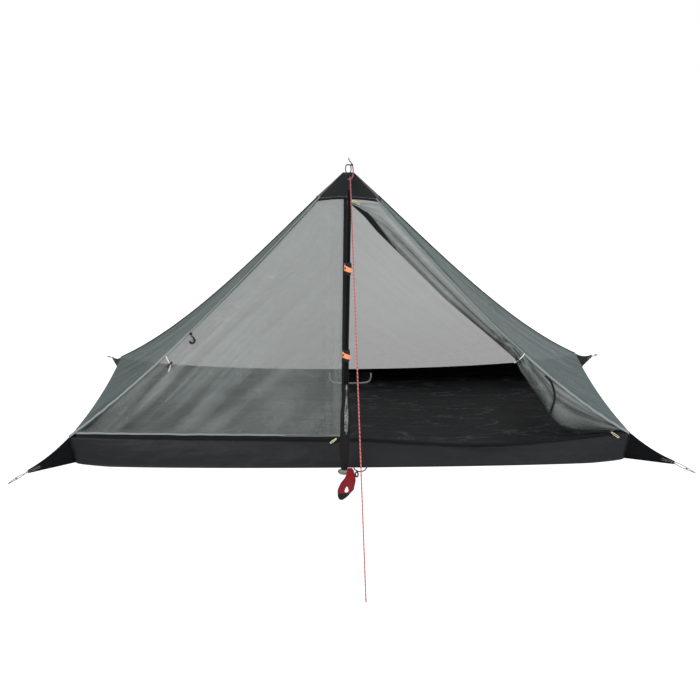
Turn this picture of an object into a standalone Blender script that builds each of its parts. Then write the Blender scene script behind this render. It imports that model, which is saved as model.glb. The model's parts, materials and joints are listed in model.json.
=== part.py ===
"""One-person mesh inner tent on an upside-down trekking pole, as separate named pieces.

Metres, +Z up. The origin is the middle of the floor's underside, which rests on the ground.
The doors face -Y and the tent's long side runs along X.
"""

import math

import bmesh
import bpy
from mathutils import Matrix, Vector

# Clearances
GAP = 0.0003
SEAM_GAP = 0.0004

# Tent body
FLOOR_WIDTH = 2.30
FLOOR_DEPTH = 1.20
WALL_HEIGHT = 0.116
APEX_HEIGHT = 1.21
APEX_FORWARD = 0.045
HALF_WIDTH = FLOOR_WIDTH / 2
HALF_DEPTH = FLOOR_DEPTH / 2
APEX = Vector((0.0, -HALF_DEPTH - APEX_FORWARD, APEX_HEIGHT))
CLOTH = 0.0012
FLOOR_CLOTH = 0.0016

# How the tub's walls stand once the tent is pitched
FRONT_FOOT_BULGE = 0.068
FRONT_SILL_DROP = 0.022
OPEN_SILL_DROP = 0.038
REAR_LEAN = 0.095
REAR_DROP = 0.044
SIDE_LEAN = 0.012
SIDE_DROP = 0.012
TUB_CORNER_PULL = 0.016
WALL_BELLY = 0.006

# How far each ridge hangs below its straight line
RIDGE_PEAK = 1.4
FRONT_LEFT_SAG = 0.048
FRONT_RIGHT_SAG = 0.080
REAR_SAG = 0.062
REAR_SAG_FORWARD = 0.35
PANEL_SAG = 0.014

# Ridge bindings and the apex cone
BINDING_RADIUS = 0.004
BINDING_REACH = 0.0074
BINDING_START = 0.010
CONE_FOOT_SHARE = 0.895
CONE_TOP_SHARE = 0.985
CONE_ARCH = 0.010
CONE_CLOTH = 0.0016
HANG_LOOP_WIDTH = 0.023
HANG_LOOP_HEIGHT = 0.031
HANG_LOOP_DEPTH = 0.010
WEBBING = 0.0022

# Zips
TAPE_THICKNESS = 0.0010
WALL_TAPE = 0.009
HEM_TAPE = 0.010
HEM_START = 0.012
SILL_END = 0.030
DOOR_TAPE_WIDTH = 0.028
DOOR_TAPE_RIGHT = -0.003
COIL_WIDTH = 0.005
COIL_RISE = 0.0010
SLIDER_LENGTH = 0.014
SLIDER_WIDTH = 0.009
SLIDER_THICKNESS = 0.0035
PULL_RADIUS = 0.0014
PULL_WIDTH = 0.006
TOP_SLIDER_DROP = 0.132
TOP_SLIDER_HEIGHT = APEX_HEIGHT - TOP_SLIDER_DROP
LEFT_SLIDER_X = -0.055
RIGHT_SLIDER_X = 1.068
TOP_PULL = (0.046, -0.001, -0.004)
LEFT_PULL = (-0.026, -0.013, -0.015)
RIGHT_PULL = (0.032, -0.007, -0.022)

# Left door
DOOR_SAG = 0.006
DOOR_HEAD_RISE = 0.005
DOOR_HEAD_GAP = 0.003
DOOR_HINGE_DROP = 0.033

# Right door: its free edge as (x, height) from the apex to the tie and on to the hem
BUNDLE_EDGE = (
    (0.0, 1.080), (0.060, 1.025), (0.110, 0.964), (0.378, 0.693), (0.600, 0.500),
    (0.661, 0.446), (0.684, 0.392), (0.734, 0.318), (0.793, 0.235), (0.815, 0.190),
    (0.859, 0.150), (0.946, 0.135), (1.060, 0.130),
)
BUNDLE_START = 0.044
BUNDLE_STOP = 1.050
BUNDLE_STATIONS = 24
BUNDLE_COLUMNS = 8
BUNDLE_TAPE = 0.0180
DOOR_TAPE_SHARE = 0.42
DOOR_TAPE_END = 0.640
BUNDLE_LEAST = 0.012
FOLD_DEPTH = 0.0065
FOLD_FULL = 0.060
FLARE_BULGE = 0.010
TIE_X = 0.672
TIE_REACH = 0.07
TIE_SEAM_X = 0.700
TIE_DEPTH = 0.048
ZIP_TAIL = ((0.786, 0.374), (0.812, 0.343), (0.828, 0.284), (0.817, 0.224), (0.805, 0.185))
TAIL_FORWARD = 0.0198

# Ties and hooks
TIE_RADIUS = 0.0014
TOGGLE_LENGTH = 0.026
TOGGLE_RADIUS = 0.0026
LEFT_TIE_SHARE = 0.362
RIGHT_TIE_DOWN = Vector((-0.70, 0, -0.71))
RIGHT_TOGGLE_LINE = Vector((0.70, 0, -0.71))
LEFT_HOOK_SHARE = 0.450
RIGHT_HOOK_SHARE = 0.437
HOOK_TAB = 0.010
HOOK_TAB_CLOTH = 0.0014
HOOK_RADIUS = 0.0022
HOOK_CLEAR = 0.0012
HOOK_SIZE = 0.010

# Pocket inside the rear wall
POCKET_X = 0.008
POCKET_WIDTH = 0.215
POCKET_DEPTH = 0.016
POCKET_OFF = 0.0005
POCKET_RAISE = 0.0008
POCKET_CLOTH = 0.0010

# Corner tie-outs: where each strap ends and its loop's tip, measured from the tub's corner
GUSSET_START = 0.0012
GUSSET_LOW = 0.0012
GUSSET_DROOP = 0.010
STRAP_END_HEIGHT = 0.014
LOOP_RADIUS = 0.0016
LOOP_START = 0.0011
LOOP_MOUTH = 0.008
LOOP_RISE = 0.0031
TIE_OUTS = {
    "front_left": ((-1, -1), (-0.148, -0.109, 0.0035), (-0.201, -0.217, 0.0018)),
    "front_right": ((1, -1), (0.170, -0.066, 0.0035), (0.230, -0.160, 0.0018)),
    "rear_left": ((-1, 1), (-0.084, 0.205, 0.046), (-0.137, 0.324, 0.030)),
    "rear_right": ((1, 1), (0.118, 0.174, 0.046), (0.175, 0.282, 0.030)),
}

# Pole, measured along its own axis from the ground
POLE_FOOT_ASIDE = 0.025
POLE_FOOT_AHEAD = 0.137
POLE_HEAD_ASIDE = 0.006
POLE_HEAD_AHEAD = 0.039
POLE_HEAD_DROP = 0.038
POLE_FOOT = Vector((-POLE_FOOT_ASIDE, -HALF_DEPTH - POLE_FOOT_AHEAD, 0.0))
POLE_PIVOT = APEX + Vector((POLE_HEAD_ASIDE, -POLE_HEAD_AHEAD, -POLE_HEAD_DROP))
POLE_SIDES = 16
GRIP_TUBE_RADIUS = 0.0090
MID_TUBE_RADIUS = 0.0080
TIP_TUBE_RADIUS = 0.0070
TUBE_WALL = 0.0007
POMMEL_RADIUS = 0.0255
POMMEL_HEIGHT = 0.020
GRIP_TOP = 0.372
GRIP_TUBE_TOP = 0.512
MID_TUBE_FOOT = 0.385
MID_TUBE_TOP = 0.855
TIP_TUBE_FOOT = 0.745
CLAMP_HEIGHT = 0.046
CLAMP_WALL = 0.0042
LEVER_THICKNESS = 0.0048
LEVER_HEIGHT = 0.024
LEVER_START = 192
LEVER_STOP = 342
LEVER_FALL = 0.013
TIP_SHOULDER = 0.009
STUB_RADIUS = 0.0024
CARBIDE_LENGTH = 0.015

# Wrist strap rows: distance ahead of the pole, height, then the edges of both strands
STRAP_CLOTH = 0.0018
STRAP_PAD = 0.0040
STRAP_NECK = POLE_FOOT + Vector((0.0225, 0.0005, 0.0250))
STRAP_GAP_ROWS = (5, 7)
STRAP_ROWS = (
    (-0.0005, 0.0250, -0.0108, -0.0030, -0.0020, 0.0060),
    (0.0160, 0.0222, -0.0100, -0.0005, 0.0005, 0.0140),
    (0.0350, 0.0110, -0.0150, 0.0005, 0.0020, 0.0175),
    (0.0530, 0.0014, -0.0235, 0.0000, 0.0020, 0.0195),
    (0.0930, 0.0013, -0.0360, -0.0050, -0.0030, 0.0185),
    (0.1330, 0.0013, -0.0435, -0.0160, -0.0120, 0.0145),
    (0.1680, 0.0013, -0.0490, -0.0230, -0.0080, 0.0110),
    (0.1980, 0.0013, -0.0500, -0.0250, -0.0090, 0.0000),
    (0.2085, 0.0013, -0.0500, -0.0260, -0.0110, -0.0040),
)
STRAP_RING = POLE_FOOT + Vector((0.0502, -0.0365, 0.0125))
PAD_OUTLINE = (
    (-0.0500, 0.2092), (-0.0035, 0.2092), (-0.0075, 0.2240), (-0.0180, 0.2470),
    (-0.0300, 0.2680), (-0.0375, 0.2710), (-0.0455, 0.2600), (-0.0498, 0.2380),
)
RING_HALF_WIDTH = 0.0070
RING_HALF_LENGTH = 0.0140
RING_BAR = 0.0034
RING_THICKNESS = 0.0030

# Ring in the tab at the apex
RING_BORE = 0.0045
RING_BARREL = 0.0060
RING_FLANGE = 0.0090
RING_FLANGE_THICKNESS = 0.0004
TAB_THICKNESS = 0.0010
TAB_WIDTH = 0.024
TAB_FRONT = 0.0096

# Guy line, as it runs to the ground in front
GUY_RADIUS = 0.0017
GUY_REACH = 1.234
GUY_START = POLE_PIVOT + Vector((0.0010, -0.0072, 0.0079))
GUY_END = Vector((0.042, -HALF_DEPTH - GUY_REACH, 0.0022))
GUY_SAG = 0.010
GUY_RING_HEIGHT = 0.0052
GUY_RING_SIDES = 8
GUY_POINTS = 40
TAIL_POINTS = 20
TAIL_FROM_APEX = (
    (0.0015, -0.003, 0.0400), (0.0040, -0.003, 0.0300), (0.0110, -0.002, 0.0210),
    (0.0170, -0.001, 0.0060), (0.0185, -0.003, -0.0080), (0.0175, -0.023, -0.0220),
    (0.0155, -0.036, -0.0291), (0.0138, -0.044, -0.0293),
)

# Thin elastic loop sewn to the foot of the front wall
FOOT_LOOP_RADIUS = 0.0012
FOOT_LOOP_STEPS = (
    (0.014, 0.0010, 0.0022), (0.018, 0.022, 0.0016), (0.028, 0.040, 0.0016),
    (0.040, 0.048, 0.0016), (0.054, 0.038, 0.0016), (0.062, 0.022, 0.0016),
    (0.067, 0.0010, 0.0022),
)

# Small shapes
ROUND_SIDES = 12
SIDE_SEGMENTS = 8
LONG_SEGMENTS = 14
RIDGE_SEGMENTS = 9


# Materials

PALETTE = {
    "black_nylon": ((0.035, 0.037, 0.040, 1.0), 0.55, 0.0),
    "grey_mesh": ((0.22, 0.25, 0.25, 0.55), 0.80, 0.0),
    "light_binding": ((0.42, 0.46, 0.46, 1.0), 0.70, 0.0),
    "black_webbing": ((0.020, 0.020, 0.022, 1.0), 0.75, 0.0),
    "zip_tape": ((0.025, 0.026, 0.028, 1.0), 0.70, 0.0),
    "zip_slider": ((0.05, 0.05, 0.055, 1.0), 0.35, 0.9),
    "yellow_cord": ((0.72, 0.68, 0.36, 1.0), 0.60, 0.0),
    "white_elastic": ((0.80, 0.80, 0.72, 1.0), 0.65, 0.0),
    "black_plastic": ((0.018, 0.018, 0.019, 1.0), 0.45, 0.0),
    "black_foam": ((0.022, 0.023, 0.025, 1.0), 0.85, 0.0),
    "pommel_grey": ((0.30, 0.28, 0.25, 1.0), 0.50, 0.0),
    "black_aluminium": ((0.025, 0.026, 0.028, 1.0), 0.30, 0.6),
    "orange_plastic": ((0.85, 0.28, 0.10, 1.0), 0.40, 0.0),
    "steel": ((0.55, 0.55, 0.56, 1.0), 0.30, 1.0),
    "red_cord": ((0.62, 0.07, 0.09, 1.0), 0.60, 0.0),
    "red_webbing": ((0.34, 0.02, 0.03, 1.0), 0.75, 0.0),
    "grey_elastic": ((0.10, 0.08, 0.09, 1.0), 0.65, 0.0),
}


def material(name):
    """One Principled material for each finish."""
    found = bpy.data.materials.get(name)
    if found:
        return found
    colour, roughness, metallic = PALETTE[name]
    made = bpy.data.materials.new(name)
    made.use_nodes = True
    shader = made.node_tree.nodes["Principled BSDF"]
    shader.inputs["Base Color"].default_value = colour
    shader.inputs["Alpha"].default_value = colour[3]
    shader.inputs["Roughness"].default_value = roughness
    shader.inputs["Metallic"].default_value = metallic
    return made


# Building blocks


def clear_scene():
    for old in list(bpy.data.objects):
        bpy.data.objects.remove(old, do_unlink=True)


def link(obj, parent=None):
    """Adds an object to the scene, keeping its place when it is given a parent."""
    bpy.context.scene.collection.objects.link(obj)
    if parent is not None:
        bpy.context.view_layer.update()
        obj.parent = parent
        obj.matrix_parent_inverse = parent.matrix_world.inverted()
    return obj


def joint_empty(name, place, parent=None):
    """An empty that stands on a joint's axis and carries the pieces that move with it."""
    empty = bpy.data.objects.new(name, None)
    empty.empty_display_size = 0.02
    empty.location = place
    link(empty, parent)
    bpy.context.view_layer.update()
    return empty


def solid(name, bm, finish, parent=None, smooth=None):
    """Turns a bmesh into a named object with its faces pointing out."""
    bmesh.ops.recalc_face_normals(bm, faces=bm.faces)
    mesh = bpy.data.meshes.new(name)
    bm.to_mesh(mesh)
    bm.free()
    if smooth is not None:
        mesh.shade_smooth()
        mesh.set_sharp_from_angle(angle=smooth)
    mesh.materials.append(material(finish))
    return link(bpy.data.objects.new(name, mesh), parent)


def add_loops(bm, rings, closed_across):
    """Faces between rings of points that all have the same count."""
    made = [[bm.verts.new(point) for point in ring] for ring in rings]
    count = len(rings[0])
    steps = count if closed_across else count - 1
    for low, high in zip(made, made[1:]):
        for i in range(steps):
            j = (i + 1) % count
            bm.faces.new((low[i], low[j], high[j], high[i]))
    return made


def add_wall(bm, low, high):
    """Triangles between two closed rings, split the same way on both sides of a wall."""
    for i in range(len(low)):
        j = (i + 1) % len(low)
        bm.faces.new((low[i], low[j], high[j]))
        bm.faces.new((low[i], high[j], high[i]))


def sheet(name, rows, thickness, finish, parent=None):
    """A closed sheet of cloth about a grid of points, half its thickness to each side."""
    lines, columns = len(rows), len(rows[0])

    def normal(i, j):
        along = rows[min(i + 1, lines - 1)][j] - rows[max(i - 1, 0)][j]
        across = rows[i][min(j + 1, columns - 1)] - rows[i][max(j - 1, 0)]
        return across.cross(along).normalized()

    bm = bmesh.new()
    faces = []
    for side in (0.5, -0.5):
        shifted = [
            [rows[i][j] + normal(i, j) * thickness * side for j in range(columns)]
            for i in range(lines)
        ]
        faces.append(add_loops(bm, shifted, False))
    front, back = faces
    for i in range(lines - 1):
        for j in (0, columns - 1):
            bm.faces.new((front[i][j], front[i + 1][j], back[i + 1][j], back[i][j]))
    for j in range(columns - 1):
        for i in (0, lines - 1):
            bm.faces.new((front[i][j], front[i][j + 1], back[i][j + 1], back[i][j]))
    return solid(name, bm, finish, parent, math.radians(35))


def turned(name, profile, finish, frame, parent=None, sides=POLE_SIDES):
    """A closed profile of (radius, height) points turned about the frame's Z axis."""
    bm = bmesh.new()
    rings = []
    for radius, height in profile:
        if radius <= 0:
            rings.append([bm.verts.new(frame @ Vector((0, 0, height)))])
            continue
        ring = []
        for k in range(sides):
            angle = 2 * math.pi * k / sides
            spot = Vector((radius * math.cos(angle), radius * math.sin(angle), height))
            ring.append(bm.verts.new(frame @ spot))
        rings.append(ring)
    hollow = profile[0][0] > 0 and profile[-1][0] > 0
    pairs = list(zip(rings, rings[1:]))
    if hollow:
        pairs.append((rings[-1], rings[0]))
    for low, high in pairs:
        for k in range(sides):
            n = (k + 1) % sides
            if len(low) == 1:
                bm.faces.new((low[0], high[n], high[k]))
            elif len(high) == 1:
                bm.faces.new((low[k], low[n], high[0]))
            else:
                bm.faces.new((low[k], low[n], high[n], high[k]))
    return solid(name, bm, finish, parent, math.radians(35))


def plate(name, outline, thickness, finish, frame, parent=None):
    """An outline in the frame's XY plane, thickened evenly along its Z."""
    bm = bmesh.new()
    rings = [
        [frame @ Vector((x, y, z)) for x, y in outline]
        for z in (-thickness / 2, thickness / 2)
    ]
    low, high = add_loops(bm, rings, True)
    bm.faces.new(low)
    bm.faces.new(high)
    return solid(name, bm, finish, parent)


def strap(name, route, width_axes, width, thickness, finish, parent=None):
    """A flat band along a route; width_axes gives the way its width points at each spot."""
    bm = bmesh.new()
    rings = []
    last = len(route) - 1
    for i, spot in enumerate(route):
        along = (route[min(i + 1, last)] - route[max(i - 1, 0)]).normalized()
        wide = width_axes[i].normalized() * width / 2
        thick = along.cross(width_axes[i]).normalized() * thickness / 2
        rings.append([spot + wide + thick, spot - wide + thick,
                      spot - wide - thick, spot + wide - thick])
    made = add_loops(bm, rings, True)
    bm.faces.new(made[0])
    bm.faces.new(made[-1])
    return solid(name, bm, finish, parent)


def cord(name, points, radius, finish, parent=None, resolution=2):
    """A round cord along a smooth route, as a curve with filled ends."""
    curve = bpy.data.curves.new(name, "CURVE")
    curve.dimensions = "3D"
    curve.bevel_depth = radius
    curve.bevel_resolution = resolution
    curve.use_fill_caps = True
    curve.resolution_u = 1
    curve.render_resolution_u = 0
    spline = curve.splines.new("POLY")
    spline.points.add(len(points) - 1)
    for spot, point in zip(spline.points, points):
        spot.co = (*point, 1.0)
    curve.materials.append(material(finish))
    return link(bpy.data.objects.new(name, curve), parent)


def smooth_route(through, count):
    """Evenly spread points on a smooth curve through the given ones."""
    padded = [2 * through[0] - through[1], *through, 2 * through[-1] - through[-2]]
    fine = []
    steps = 16
    for a, b, c, d in zip(padded, padded[1:], padded[2:], padded[3:]):
        for k in range(steps):
            t = k / steps
            fine.append(0.5 * (2 * b + (c - a) * t + (2 * a - 5 * b + 4 * c - d) * t**2
                               + (3 * b - a - 3 * c + d) * t**3))
    fine.append(through[-1])
    lengths = [0.0]
    for a, b in zip(fine, fine[1:]):
        lengths.append(lengths[-1] + (b - a).length)
    spots, at = [], 0
    for k in range(count):
        goal = lengths[-1] * k / (count - 1)
        while at < len(lengths) - 2 and lengths[at + 1] < goal:
            at += 1
        span = lengths[at + 1] - lengths[at]
        spots.append(fine[at].lerp(fine[at + 1], (goal - lengths[at]) / span))
    return spots


def frame_along(origin, z_axis, x_hint):
    """A frame with its Z along one direction and its X as near as can be to another."""
    z = z_axis.normalized()
    x = (x_hint - z * x_hint.dot(z)).normalized()
    y = z.cross(x)
    turn = Matrix((x, y, z)).transposed().to_4x4()
    return Matrix.Translation(origin) @ turn


# The pitched shape: wall tops, ridges and the front plane

SAG_BY_RIDGE = {
    (-1, -1): FRONT_LEFT_SAG,
    (1, -1): FRONT_RIGHT_SAG,
    (-1, 1): REAR_SAG,
    (1, 1): REAR_SAG,
}


def bow(share, power=1.0):
    """0 at both ends of a side and 1 in its middle."""
    return max(0.0, 4 * share * (1 - share)) ** power


def front_plane(z):
    """The front panel's depth at a height: upright wall, then a slight forward lean."""
    rise = max(0.0, z - WALL_HEIGHT) / (APEX_HEIGHT - WALL_HEIGHT)
    return -HALF_DEPTH - APEX_FORWARD * rise


def front_sill(x):
    """Height of the front wall's top edge; it hangs lower where the door is open."""
    share = abs(x) / HALF_WIDTH
    drop = FRONT_SILL_DROP * (1 - share)
    if x > 0:
        drop += OPEN_SILL_DROP * math.sin(math.pi * share) ** 1.5
    return WALL_HEIGHT - drop


def sill_height(x):
    """Height of the front wall's top edge as built, between the tub's own points."""
    at = (x + HALF_WIDTH) / FLOOR_WIDTH * LONG_SEGMENTS
    low = min(int(at), LONG_SEGMENTS - 1)
    span = FLOOR_WIDTH / LONG_SEGMENTS
    first = front_sill(low * span - HALF_WIDTH)
    second = front_sill((low + 1) * span - HALF_WIDTH)
    return first + (second - first) * (at - low)


def wall_top(side, share):
    """A point on the wall's top edge; share runs anticlockwise seen from above."""
    if side == "front":
        x = -HALF_WIDTH + FLOOR_WIDTH * share
        return Vector((x, -HALF_DEPTH, front_sill(x)))
    if side == "rear":
        x = HALF_WIDTH - FLOOR_WIDTH * share
        lift = bow(share, 0.65)
        return Vector((x, HALF_DEPTH - REAR_LEAN * lift, WALL_HEIGHT - REAR_DROP * lift))
    hand = 1 if side == "right" else -1
    y = hand * (-HALF_DEPTH + FLOOR_DEPTH * share)
    lift = bow(share)
    return Vector((hand * (HALF_WIDTH - SIDE_LEAN * lift), y, WALL_HEIGHT - SIDE_DROP * lift))


def wall_foot(side, share):
    """A point on the floor's outline, straight below or outside the wall's top edge."""
    spot = wall_top(side, share)
    pull = TUB_CORNER_PULL * max(0.0, 1 - min(share, 1 - share) * LONG_SEGMENTS)
    if side == "front":
        spot.y = -HALF_DEPTH - FRONT_FOOT_BULGE * bow(share, 0.45)
    elif side == "rear":
        spot.y = HALF_DEPTH
    else:
        spot.x = math.copysign(HALF_WIDTH, spot.x)
    spot.x -= math.copysign(pull, spot.x)
    spot.y -= math.copysign(pull, spot.y)
    spot.z = 0.0
    return spot


def ridge(hand, end, t):
    """A point on a ridge seam: hand -1 left or 1 right, end -1 front or 1 rear."""
    corner = Vector((hand * HALF_WIDTH, end * HALF_DEPTH, WALL_HEIGHT))
    spot = corner.lerp(APEX, t)
    peak_at = 1 / (1 + RIDGE_PEAK)
    peak = peak_at * (1 - peak_at) ** RIDGE_PEAK
    hang = SAG_BY_RIDGE[hand, end] * t * (1 - t) ** RIDGE_PEAK / peak
    spot.z -= hang
    if end > 0:
        spot.y -= hang * REAR_SAG_FORWARD
    return spot


def ridge_share_at(hand, height):
    """Where a front ridge passes a height, as its share of the way to the apex."""
    low, high = 0.0, 1.0
    for _ in range(40):
        middle = (low + high) / 2
        if ridge(hand, -1, middle).z < height:
            low = middle
        else:
            high = middle
    return high


def ridge_shares(start, stop):
    return [start + (stop - start) * k / RIDGE_SEGMENTS for k in range(RIDGE_SEGMENTS + 1)]


CONE_EDGE = CONE_FOOT_SHARE - SEAM_GAP


# Tub, panels and doors


def build_tub():
    """Floor and four walls in one piece, as a thin tray that is open at the top."""
    sides = (("front", LONG_SEGMENTS), ("right", SIDE_SEGMENTS),
             ("rear", LONG_SEGMENTS), ("left", SIDE_SEGMENTS))
    feet, tops, bellies = [], [], []
    for side, count in sides:
        for k in range(count):
            feet.append(wall_foot(side, k / count))
            tops.append(wall_top(side, k / count))
            bellies.append(WALL_BELLY * bow(k / count, 0.5))
    centre = Vector((0, 0, 0))
    rims = len(feet)

    def outward(ring, i):
        along = ring[(i + 1) % rims] - ring[i - 1]
        return Vector((along.y, -along.x, 0)).normalized()

    def level(share, shift, belly):
        ring = []
        for i in range(rims):
            spot = feet[i].lerp(tops[i], share)
            ring.append(spot + outward(feet, i) * (bellies[i] * belly + shift))
        return ring

    half = CLOTH / 2
    outer = [level(0.0, half, 0), level(0.45, half, 1), level(1.0, half, 0)]
    inner = [level(1.0, -half, 0), level(0.45, -half, 1), level(0.0, -half, 0)]
    inner[-1] = [low.lerp(high, FLOOR_CLOTH / high.z) for low, high in zip(inner[-1], inner[-2])]
    bm = bmesh.new()
    made = [[bm.verts.new(spot) for spot in ring] for ring in outer + inner]
    for low, high in ((0, 1), (1, 2), (4, 3), (5, 4), (2, 3)):
        add_wall(bm, made[low], made[high])
    for ring, z in ((made[0], 0.0), (made[-1], FLOOR_CLOTH)):
        middle = bm.verts.new(centre + Vector((0, 0, z)))
        for i in range(rims):
            bm.faces.new((ring[i], ring[(i + 1) % rims], middle))
    return solid("floor_tub", bm, "black_nylon", None, math.radians(40))


def panel_rows(left_ridge, right_ridge, bottom, columns, inward):
    """A grid for one mesh panel between two ridges, from the wall's top to the cone."""
    start = SEAM_GAP * 2
    rows = []
    for t in ridge_shares(start, CONE_EDGE):
        left, right = left_ridge(t), right_ridge(t)
        share = BINDING_REACH / (right - left).length
        row = []
        for j in range(columns + 1):
            u = share + (1 - 2 * share) * j / columns
            spot = left.lerp(right, u)
            straight = bottom(0.0).lerp(bottom(1.0), u)
            spot += (bottom(u) - straight) * (1 - t) ** 3
            spot += inward * PANEL_SAG * bow(u) * bow(t)
            row.append(spot)
        rows.append(row)
    return rows


def build_panels():
    """The three fixed mesh panels: left, right and rear."""
    panels = (
        ("left_side_panel", (-1, 1), (-1, -1), "left", SIDE_SEGMENTS, Vector((0.7, 0, -0.7))),
        ("right_side_panel", (1, -1), (1, 1), "right", SIDE_SEGMENTS, Vector((-0.7, 0, -0.7))),
        ("rear_panel", (1, 1), (-1, 1), "rear", LONG_SEGMENTS, Vector((0, -0.7, -0.7))),
    )
    for name, first, second, side, columns, inward in panels:
        rows = panel_rows(
            lambda t, key=first: ridge(*key, t),
            lambda t, key=second: ridge(*key, t),
            lambda u, where=side: wall_top(where, u),
            columns,
            inward,
        )
        sheet(name, rows, CLOTH, "grey_mesh")


def build_bindings():
    """The taped seams that the mesh panels are sewn into, one on each ridge."""
    for end, end_name in ((-1, "front"), (1, "rear")):
        for hand, hand_name in ((-1, "left"), (1, "right")):
            points = [ridge(hand, end, t) for t in ridge_shares(BINDING_START, CONE_EDGE)]
            name = f"{end_name}_{hand_name}_ridge_binding"
            cord(name, points, BINDING_RADIUS, "light_binding", resolution=1)


def cone_ring(t, shrink):
    """Eight points round the cone at one height: four seams and four panel middles."""
    corners = [ridge(-1, -1, t), ridge(1, -1, t), ridge(1, 1, t), ridge(-1, 1, t)]
    centre = sum(corners, Vector()) / 4
    arch = CONE_ARCH * (CONE_TOP_SHARE - t) / (CONE_TOP_SHARE - CONE_FOOT_SHARE)
    ring = []
    for a, b in zip(corners, corners[1:] + corners[:1]):
        middle = (a + b) / 2 + Vector((0, 0, arch))
        for spot in (a, middle):
            away = Vector((spot.x - centre.x, spot.y - centre.y, 0))
            ring.append(spot - away * (shrink / away.length))
    return ring


def build_cone():
    """The cloth cone over the four seams, hollow and open below."""
    half = CONE_CLOTH / 2
    shares = [CONE_FOOT_SHARE + (CONE_TOP_SHARE - CONE_FOOT_SHARE) * k / 3 for k in range(4)]
    bm = bmesh.new()
    outer = add_loops(bm, [cone_ring(t, -half) for t in shares], True)
    lid = [spot - Vector((0, 0, CONE_CLOTH)) for spot in cone_ring(CONE_TOP_SHARE, half)]
    inner = add_loops(bm, [cone_ring(t, half) for t in shares[:-1]] + [lid], True)
    bm.faces.new(outer[-1])
    bm.faces.new(inner[-1])
    for i in range(len(outer[0])):
        j = (i + 1) % len(outer[0])
        bm.faces.new((outer[0][i], outer[0][j], inner[0][j], inner[0][i]))
    solid("apex_cone", bm, "black_nylon")


def build_apex_fittings():
    """The webbing loop on the cone, and the tab and ring that the pole's tip stands in."""
    top = cone_ring(CONE_TOP_SHARE, 0)
    centre = sum(top, Vector()) / len(top)
    foot = centre.z + GAP + 0.0002
    half = HANG_LOOP_WIDTH / 2 - WEBBING / 2
    crown = foot + HANG_LOOP_HEIGHT - WEBBING / 2
    shoulder = 0.011
    through = [
        Vector((-half * 0.75, centre.y, foot)),
        Vector((-half, centre.y, foot + shoulder)),
        Vector((-half * 0.8, centre.y, crown - shoulder * 0.35)),
        Vector((0, centre.y, crown)),
        Vector((half * 0.8, centre.y, crown - shoulder * 0.35)),
        Vector((half, centre.y, foot + shoulder)),
        Vector((half * 0.75, centre.y, foot)),
    ]
    route = smooth_route(through, 13)
    strap("hang_loop", route, [Vector((0, 1, 0))] * len(route), HANG_LOOP_DEPTH, WEBBING,
          "black_webbing")

    spot = POLE_PIVOT
    share = (spot.z - WALL_HEIGHT) / (APEX_HEIGHT - WALL_HEIGHT)
    rear = ridge(-1, -1, share).y - CONE_CLOTH / 2 - SEAM_GAP
    hole = RING_BARREL + GAP
    sides = ROUND_SIDES
    bm = bmesh.new()
    rings = []
    for z in (-TAB_THICKNESS / 2, TAB_THICKNESS / 2):
        inner, outer = [], []
        for k in range(sides):
            angle = 2 * math.pi * (k + 0.5) / sides
            x, y = math.cos(angle), math.sin(angle)
            inner.append(spot + Vector((x * hole, y * hole, z)))
            reach = 1 / max(abs(x), abs(y))
            away_x = x * reach * TAB_WIDTH / 2
            away_y = y * reach * TAB_FRONT if y < 0 else y * reach * (rear - spot.y)
            outer.append(spot + Vector((away_x, away_y, z)))
        rings += [inner, outer] if z < 0 else [outer, inner]
    add_loops(bm, rings + [rings[0]], True)
    bmesh.ops.remove_doubles(bm, verts=bm.verts, dist=0.00001)
    solid("pole_tab", bm, "black_webbing")

    inside = TAB_THICKNESS / 2 + GAP
    outside = inside + RING_FLANGE_THICKNESS
    profile = [(RING_BORE, -outside), (RING_FLANGE, -outside), (RING_FLANGE, -inside),
               (RING_BARREL, -inside), (RING_BARREL, inside), (RING_FLANGE, inside),
               (RING_FLANGE, outside), (RING_BORE, outside)]
    turned("pole_tab_ring", profile, "steel", Matrix.Translation(spot), None, 16)


# Zips


def door_zip_point(z):
    return Vector((DOOR_TAPE_RIGHT, front_plane(z), z))


def tape(name, route, across, width, parent, coil=True):
    """A flat tape along a route, widening to one side, with the coil's bead on its edge."""
    bm = bmesh.new()
    rings = []
    last = len(route) - 1
    thick = TAPE_THICKNESS
    bead = COIL_RISE if coil else 0.0
    for i, spot in enumerate(route):
        along = (route[min(i + 1, last)] - route[max(i - 1, 0)]).normalized()
        side = (across[i] - along * across[i].dot(along)).normalized()
        out = along.cross(side).normalized()
        if out.y > 0:
            out = -out
        profile = [(0, 0), (0, thick + bead), (COIL_WIDTH, thick + bead),
                   (COIL_WIDTH + bead, thick), (width, thick), (width, 0)]
        rings.append([spot + side * a + out * b for a, b in profile])
    made = add_loops(bm, rings, True)
    bm.faces.new(made[0])
    bm.faces.new(made[-1])
    return solid(name, bm, "zip_tape", parent)


def build_sill_zip():
    """The half of the zip that is sewn along the front wall's top edge."""
    reach = HALF_WIDTH - SILL_END
    route = []
    for k in range(LONG_SEGMENTS + 1):
        x = min(reach, max(-reach, -HALF_WIDTH + FLOOR_WIDTH * k / LONG_SEGMENTS))
        z = sill_height(x) + SEAM_GAP + WALL_TAPE
        route.append(Vector((x, -HALF_DEPTH + TAPE_THICKNESS / 2, z)))
    tape("sill_zip_tape", route, [Vector((0, 0, -1))] * len(route), WALL_TAPE - SEAM_GAP, None)


def straight_sill(x):
    return WALL_HEIGHT - FRONT_SILL_DROP * (1 - abs(x) / HALF_WIDTH)


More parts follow.
